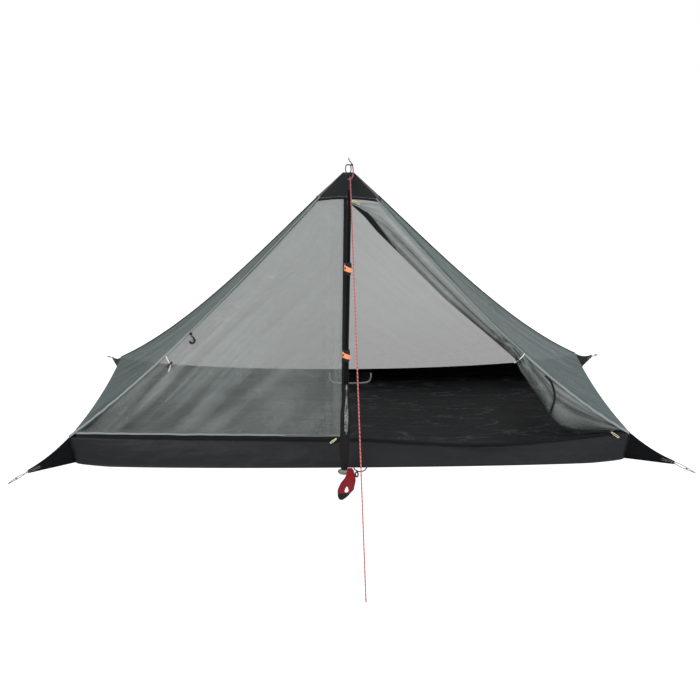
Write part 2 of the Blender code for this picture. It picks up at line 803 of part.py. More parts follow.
def build_left_door(body):
    """The left door with the tapes sewn to its hem and its upright edge."""
    right_edge = DOOR_TAPE_RIGHT - DOOR_TAPE_WIDTH - SEAM_GAP
    hem = WALL_TAPE + 2 * SEAM_GAP + HEM_TAPE + SEAM_GAP
    foot = straight_sill(DOOR_TAPE_WIDTH * 1.3) + hem
    top = CONE_EDGE - DOOR_HEAD_GAP
    head = ridge(-1, -1, top).z - SEAM_GAP
    rows = []
    columns = 12
    left_foot = ridge_share_at(-1, straight_sill(-HALF_WIDTH) + hem)
    for t in ridge_shares(left_foot, top):
        left = ridge(-1, -1, t)
        rise = (t - left_foot) / (top - left_foot)
        z = foot + (head + DOOR_HEAD_RISE - foot) * rise
        right = Vector((right_edge, front_plane(z), z))
        share = BINDING_REACH / (right - left).length
        row = []
        for j in range(columns + 1):
            u = share + (1 - share) * j / columns
            spot = left.lerp(right, u)
            spot.y += DOOR_SAG * bow(u) * bow(t)
            row.append(spot)
        rows.append(row)
    sheet("left_door", rows, CLOTH, "grey_mesh", body)

    low = foot - SEAM_GAP
    high = rows[-1][-1].z
    route = []
    for k in range(RIDGE_SEGMENTS + 1):
        z = low + (high - low) * k / RIDGE_SEGMENTS
        route.append(door_zip_point(z) + Vector((0, TAPE_THICKNESS / 2, 0)))
    tape("left_door_zip_tape", route, [Vector((-1, 0, 0))] * len(route), DOOR_TAPE_WIDTH, body)

    route, across = [], []
    start = rows[0][0].x + HEM_START
    for k in range(LONG_SEGMENTS + 1):
        x = start + (DOOR_TAPE_RIGHT - start) * k / LONG_SEGMENTS
        z = straight_sill(x) + WALL_TAPE + 2 * SEAM_GAP
        route.append(Vector((x, -HALF_DEPTH + TAPE_THICKNESS / 2, z)))
        across.append(Vector((0, 0, 1)))
    tape("left_door_hem_tape", route, across, HEM_TAPE - SEAM_GAP, body)


def curve_height(x, route):
    """Height on a route of (x, z) points in rising x."""
    for (xa, za), (xb, zb) in zip(route, route[1:]):
        if x <= xb:
            return za + (zb - za) * (x - xa) / (xb - xa)
    return route[-1][1]


def bundle_top(x):
    """The right door's sewn edge: the cone's rim near the apex, then the ridge binding."""
    t = 1 - x / HALF_WIDTH
    seam = ridge(1, -1, min(t, CONE_EDGE))
    return min(seam.z, ridge(1, -1, CONE_EDGE).z) - (BINDING_RADIUS + GAP) * 1.6


def build_right_door():
    """The right door, drawn aside and tied: it hangs in folds from its ridge."""
    rows = []
    for k in range(BUNDLE_STATIONS + 1):
        share = k / BUNDLE_STATIONS
        x = BUNDLE_START + (BUNDLE_STOP - BUNDLE_START) * share
        top = bundle_top(x)
        low = min(curve_height(x, BUNDLE_EDGE) + BUNDLE_TAPE, top - BUNDLE_LEAST)
        from_tie = (x - TIE_X) / TIE_REACH
        gather = math.exp(-from_tie * from_tie)
        deep = FOLD_DEPTH * min(1.0, (top - low) / FOLD_FULL)
        row = []
        for j in range(BUNDLE_COLUMNS + 1):
            u = j / BUNDLE_COLUMNS
            z = top + (low - top) * u
            turn = 0 if j in (0, BUNDLE_COLUMNS) else (1 if j % 2 else -1)
            bulge = FLARE_BULGE * math.sin(math.pi * u) * (1 - gather)
            y = front_plane(z) - bulge + turn * deep * (1 - 0.25 * math.sin(9 * share + j))
            row.append(Vector((x, y, z)))
        rows.append(row)
    sheet("right_door", rows, CLOTH, "grey_mesh")

    route, across = [], []
    for k in range(LONG_SEGMENTS + 1):
        x = BUNDLE_START + (DOOR_TAPE_END - BUNDLE_START) * k / LONG_SEGMENTS
        z = curve_height(x, BUNDLE_EDGE)
        route.append(Vector((x, front_plane(z) - TAPE_THICKNESS / 2, z)))
        across.append(Vector((0.7, 0, 0.7)))
    flipped = [spot + Vector((0, TAPE_THICKNESS, 0)) for spot in route]
    tape("right_door_zip_tape", flipped, across, BUNDLE_TAPE * DOOR_TAPE_SHARE, None)

    through = [Vector((x, front_plane(z) - TAIL_FORWARD, z)) for x, z in ZIP_TAIL]
    route = smooth_route(through, 14)
    strap("right_door_zip_tail", route, [Vector((1, 0, 0.2))] * len(route), COIL_WIDTH * 1.4,
          TAPE_THICKNESS + COIL_RISE, "zip_tape")


def slider(name, place, along, body):
    """A zip slider lying on the tape, its length along the zip and its lug to the front."""
    frame = frame_along(place, Vector((0, -1, 0)), along)
    length, width, thick = SLIDER_LENGTH / 2, SLIDER_WIDTH / 2, SLIDER_THICKNESS
    outline = [(-length, -width * 0.6), (-length * 0.3, -width), (length * 0.7, -width),
               (length, -width * 0.7), (length, width * 0.7), (length * 0.7, width),
               (-length * 0.3, width), (-length, width * 0.6)]
    plate_frame = frame @ Matrix.Translation((0, 0, thick / 2))
    return plate(name, outline, thick, "zip_slider", plate_frame, body)


def pull(name, place, end, finish, body):
    """A narrow loop of cord from a slider to its free end."""
    along = (end - place).normalized()
    side = along.cross(Vector((0, 1, 0))).normalized() * PULL_WIDTH / 2
    middle = (place + end) / 2
    near = place.lerp(end, 0.02)
    far = place.lerp(end, 0.92)
    through = [near - side * 0.4, middle - side, far - side * 0.8, end, far + side * 0.8,
               middle + side, near + side * 0.4]
    points = smooth_route(through, 13)
    return cord(name, points, PULL_RADIUS, finish, body)


def build_sliders():
    """The three sliders with their pull cords."""
    for name, x, z, along, end, finish in (
        ("top", DOOR_TAPE_RIGHT, TOP_SLIDER_HEIGHT, Vector((0, 0, 1)), TOP_PULL, "yellow_cord"),
        ("left_sill", LEFT_SLIDER_X, 0, Vector((1, 0, 0)), LEFT_PULL, "yellow_cord"),
        ("right_sill", RIGHT_SLIDER_X, 0, Vector((1, 0, 0)), RIGHT_PULL, "yellow_cord"),
    ):
        if name != "top":
            z = straight_sill(x) + WALL_TAPE + SEAM_GAP * 1.5
        front = front_plane(z) - TAPE_THICKNESS / 2 - COIL_RISE - GAP
        place = Vector((x, front, z))
        body = joint_empty(f"{name}_slider_axis", place)
        slider(f"{name}_slider", place, along, body)
        face = place + Vector((0, -SLIDER_THICKNESS - PULL_RADIUS - GAP, 0))
        swing = joint_empty(f"{name}_pull_axis", face, body)
        pull(f"{name}_pull", face, face + Vector(end), finish, swing)


# Corners, ties, hooks and the pocket


def build_corners():
    """A cloth gusset from each corner seam to a narrow strap end, and its elastic loop."""
    for name, (signs, end, tip) in TIE_OUTS.items():
        corner = Vector((signs[0] * HALF_WIDTH, signs[1] * HALF_DEPTH, 0))
        foot = wall_foot("front", 0.0)
        reach = Vector((signs[0] * (abs(foot.x)), signs[1] * (abs(foot.y)), GUSSET_LOW))
        out = Vector((end[0], end[1], 0)).normalized()
        top = corner + Vector((0, 0, WALL_HEIGHT - GUSSET_LOW)) + out * GUSSET_START
        low = reach + out * GUSSET_START
        end_low = corner + Vector(end)
        end_top = end_low + Vector((0, 0, STRAP_END_HEIGHT))
        rows = []
        steps = 6
        for k in range(steps + 1):
            u = k / steps
            droop = Vector((0, 0, -GUSSET_DROOP * bow(u)))
            rows.append([low.lerp(end_low, u), top.lerp(end_top, u) + droop])
        sheet(f"{name}_gusset", rows, CLOTH, "black_nylon")

        middle = end_low + Vector((0, 0, STRAP_END_HEIGHT / 2))
        above = Vector((0, 0, LOOP_RISE + LOOP_RADIUS))
        swing = joint_empty(f"{name}_loop_axis", middle + above)
        start = middle + out * LOOP_START
        point = corner + Vector(tip)
        along = (point - start).normalized()
        side = Vector((-along.y, along.x, 0)).normalized() * LOOP_MOUTH
        rise = Vector((0, 0, LOOP_RISE))
        through = [
            start + rise,
            start.lerp(point, 0.35) + side + rise * 0.4,
            start.lerp(point, 0.80) + side * 0.45,
            point,
            start.lerp(point, 0.80) - side * 0.45,
            start.lerp(point, 0.35) - side - rise * 0.4,
            start - rise,
        ]
        floor = LOOP_RADIUS + GAP
        points = [Vector((p.x, p.y, max(p.z, floor))) for p in smooth_route(through, 22)]
        cord(f"{name}_loop", points, LOOP_RADIUS, "white_elastic", swing)


def build_ties():
    """The left door's hanging toggle, and the loop and toggle that hold the right door."""
    top = ridge(-1, -1, LEFT_TIE_SHARE)
    hang = Vector((top.x, top.y - BINDING_RADIUS - TIE_RADIUS - GAP * 2, top.z))
    swing = joint_empty("left_tie_axis", hang)
    through = [hang, hang + Vector((0.007, -0.002, -0.016)),
               hang + Vector((0.014, -0.002, -0.031)), hang + Vector((0.015, -0.002, -0.046)),
               hang + Vector((0.007, -0.002, -0.064))]
    cord("left_tie_cord", smooth_route(through, 20), TIE_RADIUS, "white_elastic", swing)
    seat = hang + Vector((0.014, -0.002 - TIE_RADIUS - TOGGLE_RADIUS - GAP, -0.033))
    bar(name="left_tie_toggle", centre=seat, along=Vector((0.72, 0, 0.69)), body=swing)

    seam = ridge(1, -1, 1 - TIE_SEAM_X / HALF_WIDTH)
    down = RIGHT_TIE_DOWN
    depth = TIE_DEPTH
    front = -FOLD_DEPTH - TIE_RADIUS - 0.006
    back = FOLD_DEPTH + TIE_RADIUS + 0.006
    start = seam - down * 0.0006
    through = [
        Vector((start.x, seam.y - BINDING_RADIUS * 0.9 - TIE_RADIUS - GAP, start.z)),
        seam + down * 0.010 + Vector((0, front, 0)),
        seam + down * depth * 0.75 + Vector((0, front, 0)),
        seam + down * (depth + 0.007),
        seam + down * depth * 0.75 + Vector((0, back, 0)),
        seam + down * 0.012 + Vector((0, back, 0)),
    ]
    cord("right_tie_loop", smooth_route(through, 26), TIE_RADIUS, "white_elastic")
    seat = seam + down * (depth * 0.62)
    seat = seat + Vector((0, front - TIE_RADIUS - TOGGLE_RADIUS * 1.3, 0))
    bar(name="right_tie_toggle", centre=seat, along=RIGHT_TOGGLE_LINE, body=None)


def bar(name, centre, along, body):
    """A short round toggle bar with eased ends."""
    half = TOGGLE_LENGTH / 2
    r = TOGGLE_RADIUS
    profile = [(0, -half), (r * 0.75, -half), (r, -half * 0.82), (r * 0.8, 0),
               (r, half * 0.82), (r * 0.75, half), (0, half)]
    frame = frame_along(centre, along, Vector((0, 1, 0)))
    return turned(name, profile, "black_plastic", frame, body, 10)


def build_hooks():
    """A plastic hook on a short webbing tab at two of the ridges."""
    outside = (0, -BINDING_RADIUS - HOOK_TAB_CLOTH / 2 - GAP, 0.001)
    inside = (0, 0, -BINDING_RADIUS * 1.22)
    for name, key, share, lean, offset, wide, width in (
        ("front_left", (-1, -1), LEFT_HOOK_SHARE, 0.009, outside, (1, 0, 0), 0.010),
        ("rear_right", (1, 1), RIGHT_HOOK_SHARE, 0.0, inside, (0.73, -0.68, 0), 0.005),
    ):
        seam = ridge(*key, share)
        first = seam + Vector(offset)
        side = Vector((0.003, 0, 0))
        tab_route = [first, first + Vector((lean * 0.3, 0, -HOOK_TAB / 2)),
                     first + Vector((lean * 0.5, 0, -HOOK_TAB))]
        strap(f"{name}_hook_tab", tab_route, [Vector(wide)] * 3, width, HOOK_TAB_CLOTH,
              "black_webbing")
        top = tab_route[-1] + Vector((0, 0, -HOOK_RADIUS - HOOK_CLEAR))
        swing = joint_empty(f"{name}_hook_axis", top)
        r = HOOK_SIZE
        through = [top - side, top + side, top + Vector((r * 0.9, 0, -r * 0.9)),
                   top + Vector((r * 1.15, 0, -r * 1.9)), top + Vector((r * 0.5, 0, -r * 2.75)),
                   top + Vector((-r * 0.45, 0, -r * 2.6)), top + Vector((-r * 0.75, 0, -r * 1.8))]
        cord(f"{name}_hook", smooth_route(through, 14), HOOK_RADIUS, "black_plastic", swing)


def build_pocket():
    """A flat mesh pocket that hangs inside from the rear wall's top edge."""
    share = 0.5
    rim = wall_top("rear", share)
    back = rim.y - CLOTH / 2 - POCKET_OFF
    front = back - POCKET_DEPTH
    top = rim.z - 0.002
    mouth = rim.z - 0.010
    low = FLOOR_CLOTH + POCKET_RAISE
    cloth = POCKET_CLOTH
    half = POCKET_WIDTH / 2
    bm = bmesh.new()
    outer = [(-half, back), (half, back), (half, front), (-half, front)]
    inner = [(-half + cloth, back - cloth), (half - cloth, back - cloth),
             (half - cloth, front + cloth), (-half + cloth, front + cloth)]
    heights = [top, top, mouth, mouth]

    def ring(shape, zs):
        return [Vector((POCKET_X + x, y, z)) for (x, y), z in zip(shape, zs)]

    rings = [ring(outer, [low] * 4), ring(outer, heights), ring(inner, heights),
             ring(inner, [low + cloth] * 4)]
    made = add_loops(bm, rings, True)
    bm.faces.new(made[0])
    bm.faces.new(made[-1])
    solid("rear_pocket", bm, "grey_mesh")


# Pole


def build_pole():
    """Three nested tubes with lever clamps, the grip at the ground and the tip in the ring."""
    axis = POLE_PIVOT - POLE_FOOT
    length = axis.length
    frame = frame_along(POLE_FOOT, axis, Vector((1, 0, 0)))

    def at(height):
        return frame @ Vector((0, 0, height))

    tip_body = joint_empty("tip_section_axis", POLE_PIVOT)
    mid_body = joint_empty("middle_section_axis", at(MID_TUBE_TOP), tip_body)
    grip_body = joint_empty("grip_section_axis", at(GRIP_TUBE_TOP), mid_body)

    def tube(name, radius, low, high, body):
        inner = radius - TUBE_WALL
        profile = [(inner, low), (radius, low), (radius, high), (inner, high)]
        turned(name, profile, "black_aluminium", frame, body)

    pommel = [(0, 0), (0.0120, 0.0012), (0.0215, 0.0045), (POMMEL_RADIUS, 0.0095),
              (POMMEL_RADIUS - 0.001, 0.0140), (0.0170, 0.0185), (0.0130, POMMEL_HEIGHT),
              (0, POMMEL_HEIGHT)]
    turned("pole_pommel", pommel, "pommel_grey", frame, grip_body)
    bore = GRIP_TUBE_RADIUS + GAP
    foot = POMMEL_HEIGHT + GAP
    grip = [(bore, foot), (0.0125, foot), (0.0140, 0.030), (0.0185, 0.050), (0.0195, 0.110),
            (0.0190, 0.190), (0.0195, 0.250), (0.0150, 0.300), (0.0125, 0.345),
            (0.0118, GRIP_TOP), (bore, GRIP_TOP)]
    turned("pole_grip", grip, "black_foam", frame, grip_body)
    tube("pole_grip_tube", GRIP_TUBE_RADIUS, foot, GRIP_TUBE_TOP, grip_body)
    tube("pole_middle_tube", MID_TUBE_RADIUS, MID_TUBE_FOOT, MID_TUBE_TOP, mid_body)
    shoulder = length - TIP_SHOULDER
    tube("pole_tip_tube", TIP_TUBE_RADIUS, TIP_TUBE_FOOT, shoulder - 0.030, tip_body)
    ferrule = [(0, shoulder - 0.0297), (TIP_TUBE_RADIUS + 0.0008, shoulder - 0.0297),
               (TIP_TUBE_RADIUS + 0.0005, shoulder - 0.018), (0.0046, shoulder),
               (STUB_RADIUS + 0.0008, shoulder + 0.002), (0, shoulder + 0.002)]
    turned("pole_ferrule", ferrule, "black_plastic", frame, tip_body)
    low = shoulder + 0.002 + GAP
    high = length + CARBIDE_LENGTH
    carbide = [(0, low), (STUB_RADIUS, low), (STUB_RADIUS, high - 0.002),
               (STUB_RADIUS * 0.6, high), (0, high)]
    turned("pole_steel_tip", carbide, "steel", frame, tip_body, 12)

    for name, top, radius, body in (
        ("lower", GRIP_TUBE_TOP, GRIP_TUBE_RADIUS, grip_body),
        ("upper", MID_TUBE_TOP, MID_TUBE_RADIUS, mid_body),
    ):
        build_clamp(name, frame, top, radius, body)
    build_inlay(frame, grip_body)
    build_strap(grip_body)
    build_guy_ring(frame_along(POLE_PIVOT, axis, Vector((1, 0, 0))), tip_body)


def build_clamp(name, frame, top, radius, body):
    """A collar round the tube's mouth, and a cam lever that turns on its pin."""
    inner = radius + GAP
    outer = inner + CLAMP_WALL
    low, high = top - CLAMP_HEIGHT, top
    profile = [(inner, low), (outer - 0.0015, low), (outer - 0.0010, low + 0.010),
               (outer, low + 0.014), (outer, high - 0.002), (outer - 0.0015, high),
               (inner, high)]
    turned(f"{name}_clamp", profile, "black_plastic", frame, body)

    middle = (low + high) / 2 + 0.006

    def spot(reach, angle):
        return Vector((reach * math.cos(angle), reach * math.sin(angle), 0))

    pin_angle = math.radians(LEVER_START)
    pin = spot(outer + GAP + LEVER_THICKNESS / 2, pin_angle) + Vector((0, 0, middle))
    swing = joint_empty(f"{name}_lever_axis", frame @ pin, body)

    bm = bmesh.new()
    rings = []
    inside, outside = outer + GAP, outer + GAP + LEVER_THICKNESS
    steps = 9
    for k in range(steps + 1):
        angle = math.radians(LEVER_START + (LEVER_STOP - LEVER_START) * k / steps)
        tall = LEVER_HEIGHT / 2 * (1.0 - 0.35 * k / steps)
        slide = -LEVER_FALL * k / steps
        ring = []
        for reach, z in ((inside, -tall), (outside, -tall), (outside, tall), (inside, tall)):
            ring.append(frame @ (spot(reach, angle) + Vector((0, 0, middle + z + slide))))
        rings.append(ring)
    made = add_loops(bm, rings, True)
    bm.faces.new(made[0])
    bm.faces.new(made[-1])
    solid(f"{name}_lever", bm, "orange_plastic", swing, math.radians(35))


def build_inlay(frame, body):
    """A smooth rubber inlay on the front of the grip."""
    rows = []
    heights = [0.185 + 0.017 * k for k in range(11)]
    for k, height in enumerate(heights):
        u = k / (len(heights) - 1)
        wide = 0.0030 + 0.0062 * math.sin(math.pi * min(1.0, (1 - u) * 1.15 + 0.05)) ** 0.8
        radius = grip_radius(height) + GAP + 0.0006
        row = []
        for j in range(5):
            angle = -math.pi / 2 + wide / radius * (j / 2 - 1)
            row.append(frame @ Vector((radius * math.cos(angle), radius * math.sin(angle),
                                       height)))
        rows.append(row)
    sheet("pole_grip_inlay", rows, 0.0010, "pommel_grey", body)


def grip_radius(height):
    profile = [(0.110, 0.0195), (0.190, 0.0190), (0.250, 0.0195), (0.300, 0.0150),
               (0.345, 0.0125), (GRIP_TOP, 0.0118)]
    for (ha, ra), (hb, rb) in zip(profile, profile[1:]):
        if height <= hb:
            return ra + (rb - ra) * (height - ha) / (hb - ha)
    return profile[-1][1]


def build_strap(body):
    """The wrist strap, lying forward on the ground in a flat loop with a padded end."""
    swing = joint_empty("wrist_strap_axis", STRAP_NECK, body)
    made = {}
    bm = bmesh.new()
    half = STRAP_CLOTH / 2
    for level in (0, 1):
        for i, (ahead, z, *xs) in enumerate(STRAP_ROWS):
            lift = -half if level == 0 else half
            for j, x in enumerate(xs):
                made[level, i, j] = bm.verts.new((x, POLE_FOOT.y - ahead, z + lift))
    last = len(STRAP_ROWS) - 1

    def quad(a, b, c, d):
        bm.faces.new([made[key] for key in (a, b, c, d)])

    for i in range(last):
        open_here = STRAP_GAP_ROWS[0] <= i < STRAP_GAP_ROWS[1]
        for j in range(3):
            if j == 1 and open_here:
                for k in (1, 2):
                    quad((0, i, k), (0, i + 1, k), (1, i + 1, k), (1, i, k))
                continue
            for level in (0, 1):
                quad((level, i, j), (level, i + 1, j), (level, i + 1, j + 1), (level, i, j + 1))
        for j in (0, 3):
            quad((0, i, j), (0, i + 1, j), (1, i + 1, j), (1, i, j))
    for i in (0, last):
        for j in range(3):
            quad((0, i, j), (0, i, j + 1), (1, i, j + 1), (1, i, j))
    for i in STRAP_GAP_ROWS:
        quad((0, i, 1), (0, i, 2), (1, i, 2), (1, i, 1))
    solid("wrist_strap", bm, "red_webbing", swing)

    pad = [(x, POLE_FOOT.y - ahead) for x, ahead in PAD_OUTLINE]
    plate("strap_pad", pad, STRAP_PAD, "black_webbing",
          Matrix.Translation((0, 0, STRAP_PAD / 2 + GAP)), swing)

    frame = frame_along(STRAP_RING, Vector((0, -0.47, 0.88)), Vector((1, 0, 0)))
    low, high = -RING_THICKNESS / 2, RING_THICKNESS / 2
    rings = []
    for inset, z in ((0, low), (0, high), (RING_BAR, high), (RING_BAR, low)):
        ring = []
        for k in range(ROUND_SIDES):
            angle = 2 * math.pi * k / ROUND_SIDES
            x = (RING_HALF_WIDTH - inset) * math.cos(angle)
            y = (RING_HALF_LENGTH - inset) * math.sin(angle)
            ring.append(frame @ Vector((x, y, z)))
        rings.append(ring)
    bm = bmesh.new()
    add_loops(bm, rings + [rings[0]], True)
    bmesh.ops.remove_doubles(bm, verts=bm.verts, dist=0.00001)
    solid("strap_ring", bm, "black_plastic", swing)


def build_guy_ring(frame, body):
    """The guy line's loop round the pole's steel tip."""
    ring_centre = frame @ Vector((0, 0, GUY_RING_HEIGHT))
    major = STUB_RADIUS + GUY_RADIUS + GAP * 1.5
    bm = bmesh.new()
    rings = []
    for k in range(POLE_SIDES):
        angle = 2 * math.pi * k / POLE_SIDES
        ring = []
        for j in range(GUY_RING_SIDES):
            turn = 2 * math.pi * j / GUY_RING_SIDES
            reach = major + GUY_RADIUS * math.cos(turn)
            ring.append(ring_centre + Vector((reach * math.cos(angle), reach * math.sin(angle),
                                              GUY_RADIUS * math.sin(turn))))
        rings.append(ring)
    add_loops(bm, rings + [rings[0]], True)
    bmesh.ops.remove_doubles(bm, verts=bm.verts, dist=0.00001)
    solid("guy_ring", bm, "red_cord", body, math.radians(60))


# Cords


def build_cords():
    """The guy line from its tail at the apex to the ground, and the foot loop."""
    through = [APEX + Vector(step) for step in TAIL_FROM_APEX]
    tail = smooth_route([*through, GUY_START], TAIL_POINTS)
    points = tail[:-1]
    for k in range(GUY_POINTS):
        u = k / (GUY_POINTS - 1)
        points.append(GUY_START.lerp(GUY_END, u) - Vector((0, 0, GUY_SAG * bow(u))))
    cord("guy_line", points, GUY_RADIUS, "red_cord")

    foot = -HALF_DEPTH - FRONT_FOOT_BULGE
    route = smooth_route([Vector((x, foot - ahead, z)) for x, ahead, z in FOOT_LOOP_STEPS], 18)
    cord("foot_loop", route, FOOT_LOOP_RADIUS, "grey_elastic")


def left_door_hinge():
    """The empty on the line that the left door swings about, along its ridge."""
    corner = Vector((-HALF_WIDTH, -HALF_DEPTH, WALL_HEIGHT))
    along = (APEX - corner).normalized()
    down = Vector((along.z, 0, -along.x))
    return joint_empty("left_door_axis", corner + down * DOOR_HINGE_DROP)


def main():
    clear_scene()
    build_tub()
    build_panels()
    build_bindings()
    build_cone()
    build_apex_fittings()
    build_sill_zip()
    build_left_door(left_door_hinge())
    build_right_door()
    build_sliders()
    build_corners()
    build_ties()
    build_hooks()
    build_pocket()
    build_pole()
    build_cords()


main()
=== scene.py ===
"""Looks of the one-person mesh inner tent: cloth, netting, zips, cords and the trekking pole."""

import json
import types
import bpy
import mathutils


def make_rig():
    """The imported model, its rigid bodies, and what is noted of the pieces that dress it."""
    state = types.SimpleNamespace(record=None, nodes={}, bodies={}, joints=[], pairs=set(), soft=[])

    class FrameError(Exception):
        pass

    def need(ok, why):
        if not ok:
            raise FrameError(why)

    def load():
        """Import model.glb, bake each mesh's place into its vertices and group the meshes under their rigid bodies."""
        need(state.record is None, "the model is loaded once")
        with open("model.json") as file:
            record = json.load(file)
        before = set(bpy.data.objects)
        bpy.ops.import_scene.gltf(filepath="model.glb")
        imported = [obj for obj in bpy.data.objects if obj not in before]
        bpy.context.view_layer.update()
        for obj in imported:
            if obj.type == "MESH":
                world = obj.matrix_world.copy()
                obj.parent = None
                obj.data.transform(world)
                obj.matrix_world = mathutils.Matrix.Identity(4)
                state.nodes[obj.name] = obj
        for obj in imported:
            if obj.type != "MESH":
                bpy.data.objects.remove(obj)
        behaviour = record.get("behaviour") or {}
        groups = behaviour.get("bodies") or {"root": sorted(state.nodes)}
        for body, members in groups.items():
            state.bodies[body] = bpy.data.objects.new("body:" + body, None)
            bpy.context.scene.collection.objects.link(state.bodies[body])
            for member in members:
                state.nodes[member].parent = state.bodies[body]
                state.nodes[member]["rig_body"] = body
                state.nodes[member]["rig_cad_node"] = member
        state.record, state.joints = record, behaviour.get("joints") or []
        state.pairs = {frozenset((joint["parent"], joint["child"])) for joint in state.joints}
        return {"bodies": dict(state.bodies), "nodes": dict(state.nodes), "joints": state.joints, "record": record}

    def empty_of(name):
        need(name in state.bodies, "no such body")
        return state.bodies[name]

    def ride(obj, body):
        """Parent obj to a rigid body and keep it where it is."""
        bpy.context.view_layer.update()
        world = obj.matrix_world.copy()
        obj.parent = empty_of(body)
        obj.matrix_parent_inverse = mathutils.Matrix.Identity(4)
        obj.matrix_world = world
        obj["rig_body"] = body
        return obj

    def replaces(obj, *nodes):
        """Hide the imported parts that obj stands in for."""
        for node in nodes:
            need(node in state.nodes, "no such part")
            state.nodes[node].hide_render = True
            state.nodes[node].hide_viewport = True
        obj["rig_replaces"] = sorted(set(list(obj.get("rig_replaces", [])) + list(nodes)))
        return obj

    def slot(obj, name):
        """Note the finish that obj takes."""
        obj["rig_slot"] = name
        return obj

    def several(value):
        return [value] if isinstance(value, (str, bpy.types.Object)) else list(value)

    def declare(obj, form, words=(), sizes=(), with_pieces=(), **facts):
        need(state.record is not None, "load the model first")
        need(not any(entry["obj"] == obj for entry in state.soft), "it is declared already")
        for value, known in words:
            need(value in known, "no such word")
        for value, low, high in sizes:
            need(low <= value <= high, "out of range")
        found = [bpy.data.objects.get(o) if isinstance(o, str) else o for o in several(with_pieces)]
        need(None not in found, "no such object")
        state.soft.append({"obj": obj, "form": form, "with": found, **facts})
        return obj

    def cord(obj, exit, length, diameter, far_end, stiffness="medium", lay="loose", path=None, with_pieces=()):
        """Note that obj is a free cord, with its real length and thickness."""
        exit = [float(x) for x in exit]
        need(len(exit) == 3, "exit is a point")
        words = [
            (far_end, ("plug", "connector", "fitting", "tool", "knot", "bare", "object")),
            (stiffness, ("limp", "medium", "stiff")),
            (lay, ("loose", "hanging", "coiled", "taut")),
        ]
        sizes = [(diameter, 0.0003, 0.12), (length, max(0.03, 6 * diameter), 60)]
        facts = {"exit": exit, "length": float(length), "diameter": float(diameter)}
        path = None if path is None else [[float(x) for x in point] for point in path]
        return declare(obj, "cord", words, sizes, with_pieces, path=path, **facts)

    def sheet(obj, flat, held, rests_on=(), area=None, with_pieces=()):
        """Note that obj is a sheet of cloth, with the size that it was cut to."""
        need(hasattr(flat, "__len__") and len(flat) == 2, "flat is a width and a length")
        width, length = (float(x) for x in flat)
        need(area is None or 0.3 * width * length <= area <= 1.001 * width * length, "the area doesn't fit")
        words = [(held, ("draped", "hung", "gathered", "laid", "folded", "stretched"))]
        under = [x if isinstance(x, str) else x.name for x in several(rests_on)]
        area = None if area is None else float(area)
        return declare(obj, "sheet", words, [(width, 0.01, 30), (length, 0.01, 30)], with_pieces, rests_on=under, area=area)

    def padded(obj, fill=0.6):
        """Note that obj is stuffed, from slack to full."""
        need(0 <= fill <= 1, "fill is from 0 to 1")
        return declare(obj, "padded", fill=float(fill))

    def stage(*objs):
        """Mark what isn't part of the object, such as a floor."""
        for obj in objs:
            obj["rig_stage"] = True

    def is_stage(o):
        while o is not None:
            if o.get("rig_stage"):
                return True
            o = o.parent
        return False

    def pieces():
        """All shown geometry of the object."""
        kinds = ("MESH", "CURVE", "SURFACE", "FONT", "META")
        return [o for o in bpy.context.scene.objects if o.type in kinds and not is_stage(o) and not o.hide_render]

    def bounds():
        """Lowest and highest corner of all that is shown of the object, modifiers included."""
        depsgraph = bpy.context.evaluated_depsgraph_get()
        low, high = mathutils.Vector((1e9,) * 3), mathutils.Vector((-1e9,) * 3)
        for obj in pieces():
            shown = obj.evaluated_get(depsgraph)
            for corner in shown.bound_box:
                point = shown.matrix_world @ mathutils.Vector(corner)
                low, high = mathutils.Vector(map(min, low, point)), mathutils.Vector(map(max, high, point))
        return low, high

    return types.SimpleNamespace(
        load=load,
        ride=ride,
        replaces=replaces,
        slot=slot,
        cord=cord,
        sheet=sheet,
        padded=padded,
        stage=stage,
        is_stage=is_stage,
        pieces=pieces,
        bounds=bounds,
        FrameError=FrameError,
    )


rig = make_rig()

bl_info = {
    "name": "Mesh Inner Tent",
    "version": (1, 0, 0),
    "blender": (4, 5, 0),
    "location": "3D View > Sidebar > Tent",
    "description": "Dresses the packed inner tent with cloth, netting, zips, cords and its pole",
    "category": "Object",
}

import json
from math import copysign, cos, exp, hypot, pi, radians, sin

import bpy
from bpy.props import FloatProperty, FloatVectorProperty
from mathutils import Matrix, Vector, noise

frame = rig.load()
CAD_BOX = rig.bounds()
FINISHES = {}
INSIDE = Vector((0, 0, 0.3))
UP = Vector((0, 0, 1))
SHARP_ANGLE = radians(40)
WELD_REACH = 0.00002


def vec(x, y, z):
    return Vector((x, y, z))


# Tent body, as in the part's source
HALF_WIDTH = 1.15
HALF_DEPTH = 0.6
WALL_HEIGHT = 0.116
APEX_HEIGHT = 1.21
APEX_FORWARD = 0.045
APEX = vec(0.0, -HALF_DEPTH - APEX_FORWARD, APEX_HEIGHT)
SEAM_GAP = 0.0004

FRONT_FOOT_BULGE = 0.068
FRONT_SILL_DROP = 0.022
OPEN_SILL_DROP = 0.038
REAR_LEAN = 0.095
REAR_DROP = 0.044
SIDE_LEAN = 0.012
SIDE_DROP = 0.012
TUB_CORNER_PULL = 0.016
CORNER_SPAN = 1 / 14
WALL_BELLY = 0.006

RIDGE_PEAK = 1.4
RIDGE_SAG = {(-1, -1): 0.048, (1, -1): 0.08, (-1, 1): 0.062, (1, 1): 0.062}
REAR_SAG_FORWARD = 0.35
PANEL_SAG = 0.014
PANEL_FILL = 0.55

# Cone and what stands on it
CONE_START = 0.895
CONE_TOP = 0.985
CONE_ARCH = 0.01
LOOP_WIDTH = 0.023
LOOP_HEIGHT = 0.031
LOOP_DEPTH = 0.01
WEBBING = 0.0022
TAB_WIDTH = 0.024
TAB_FRONT = 0.0096

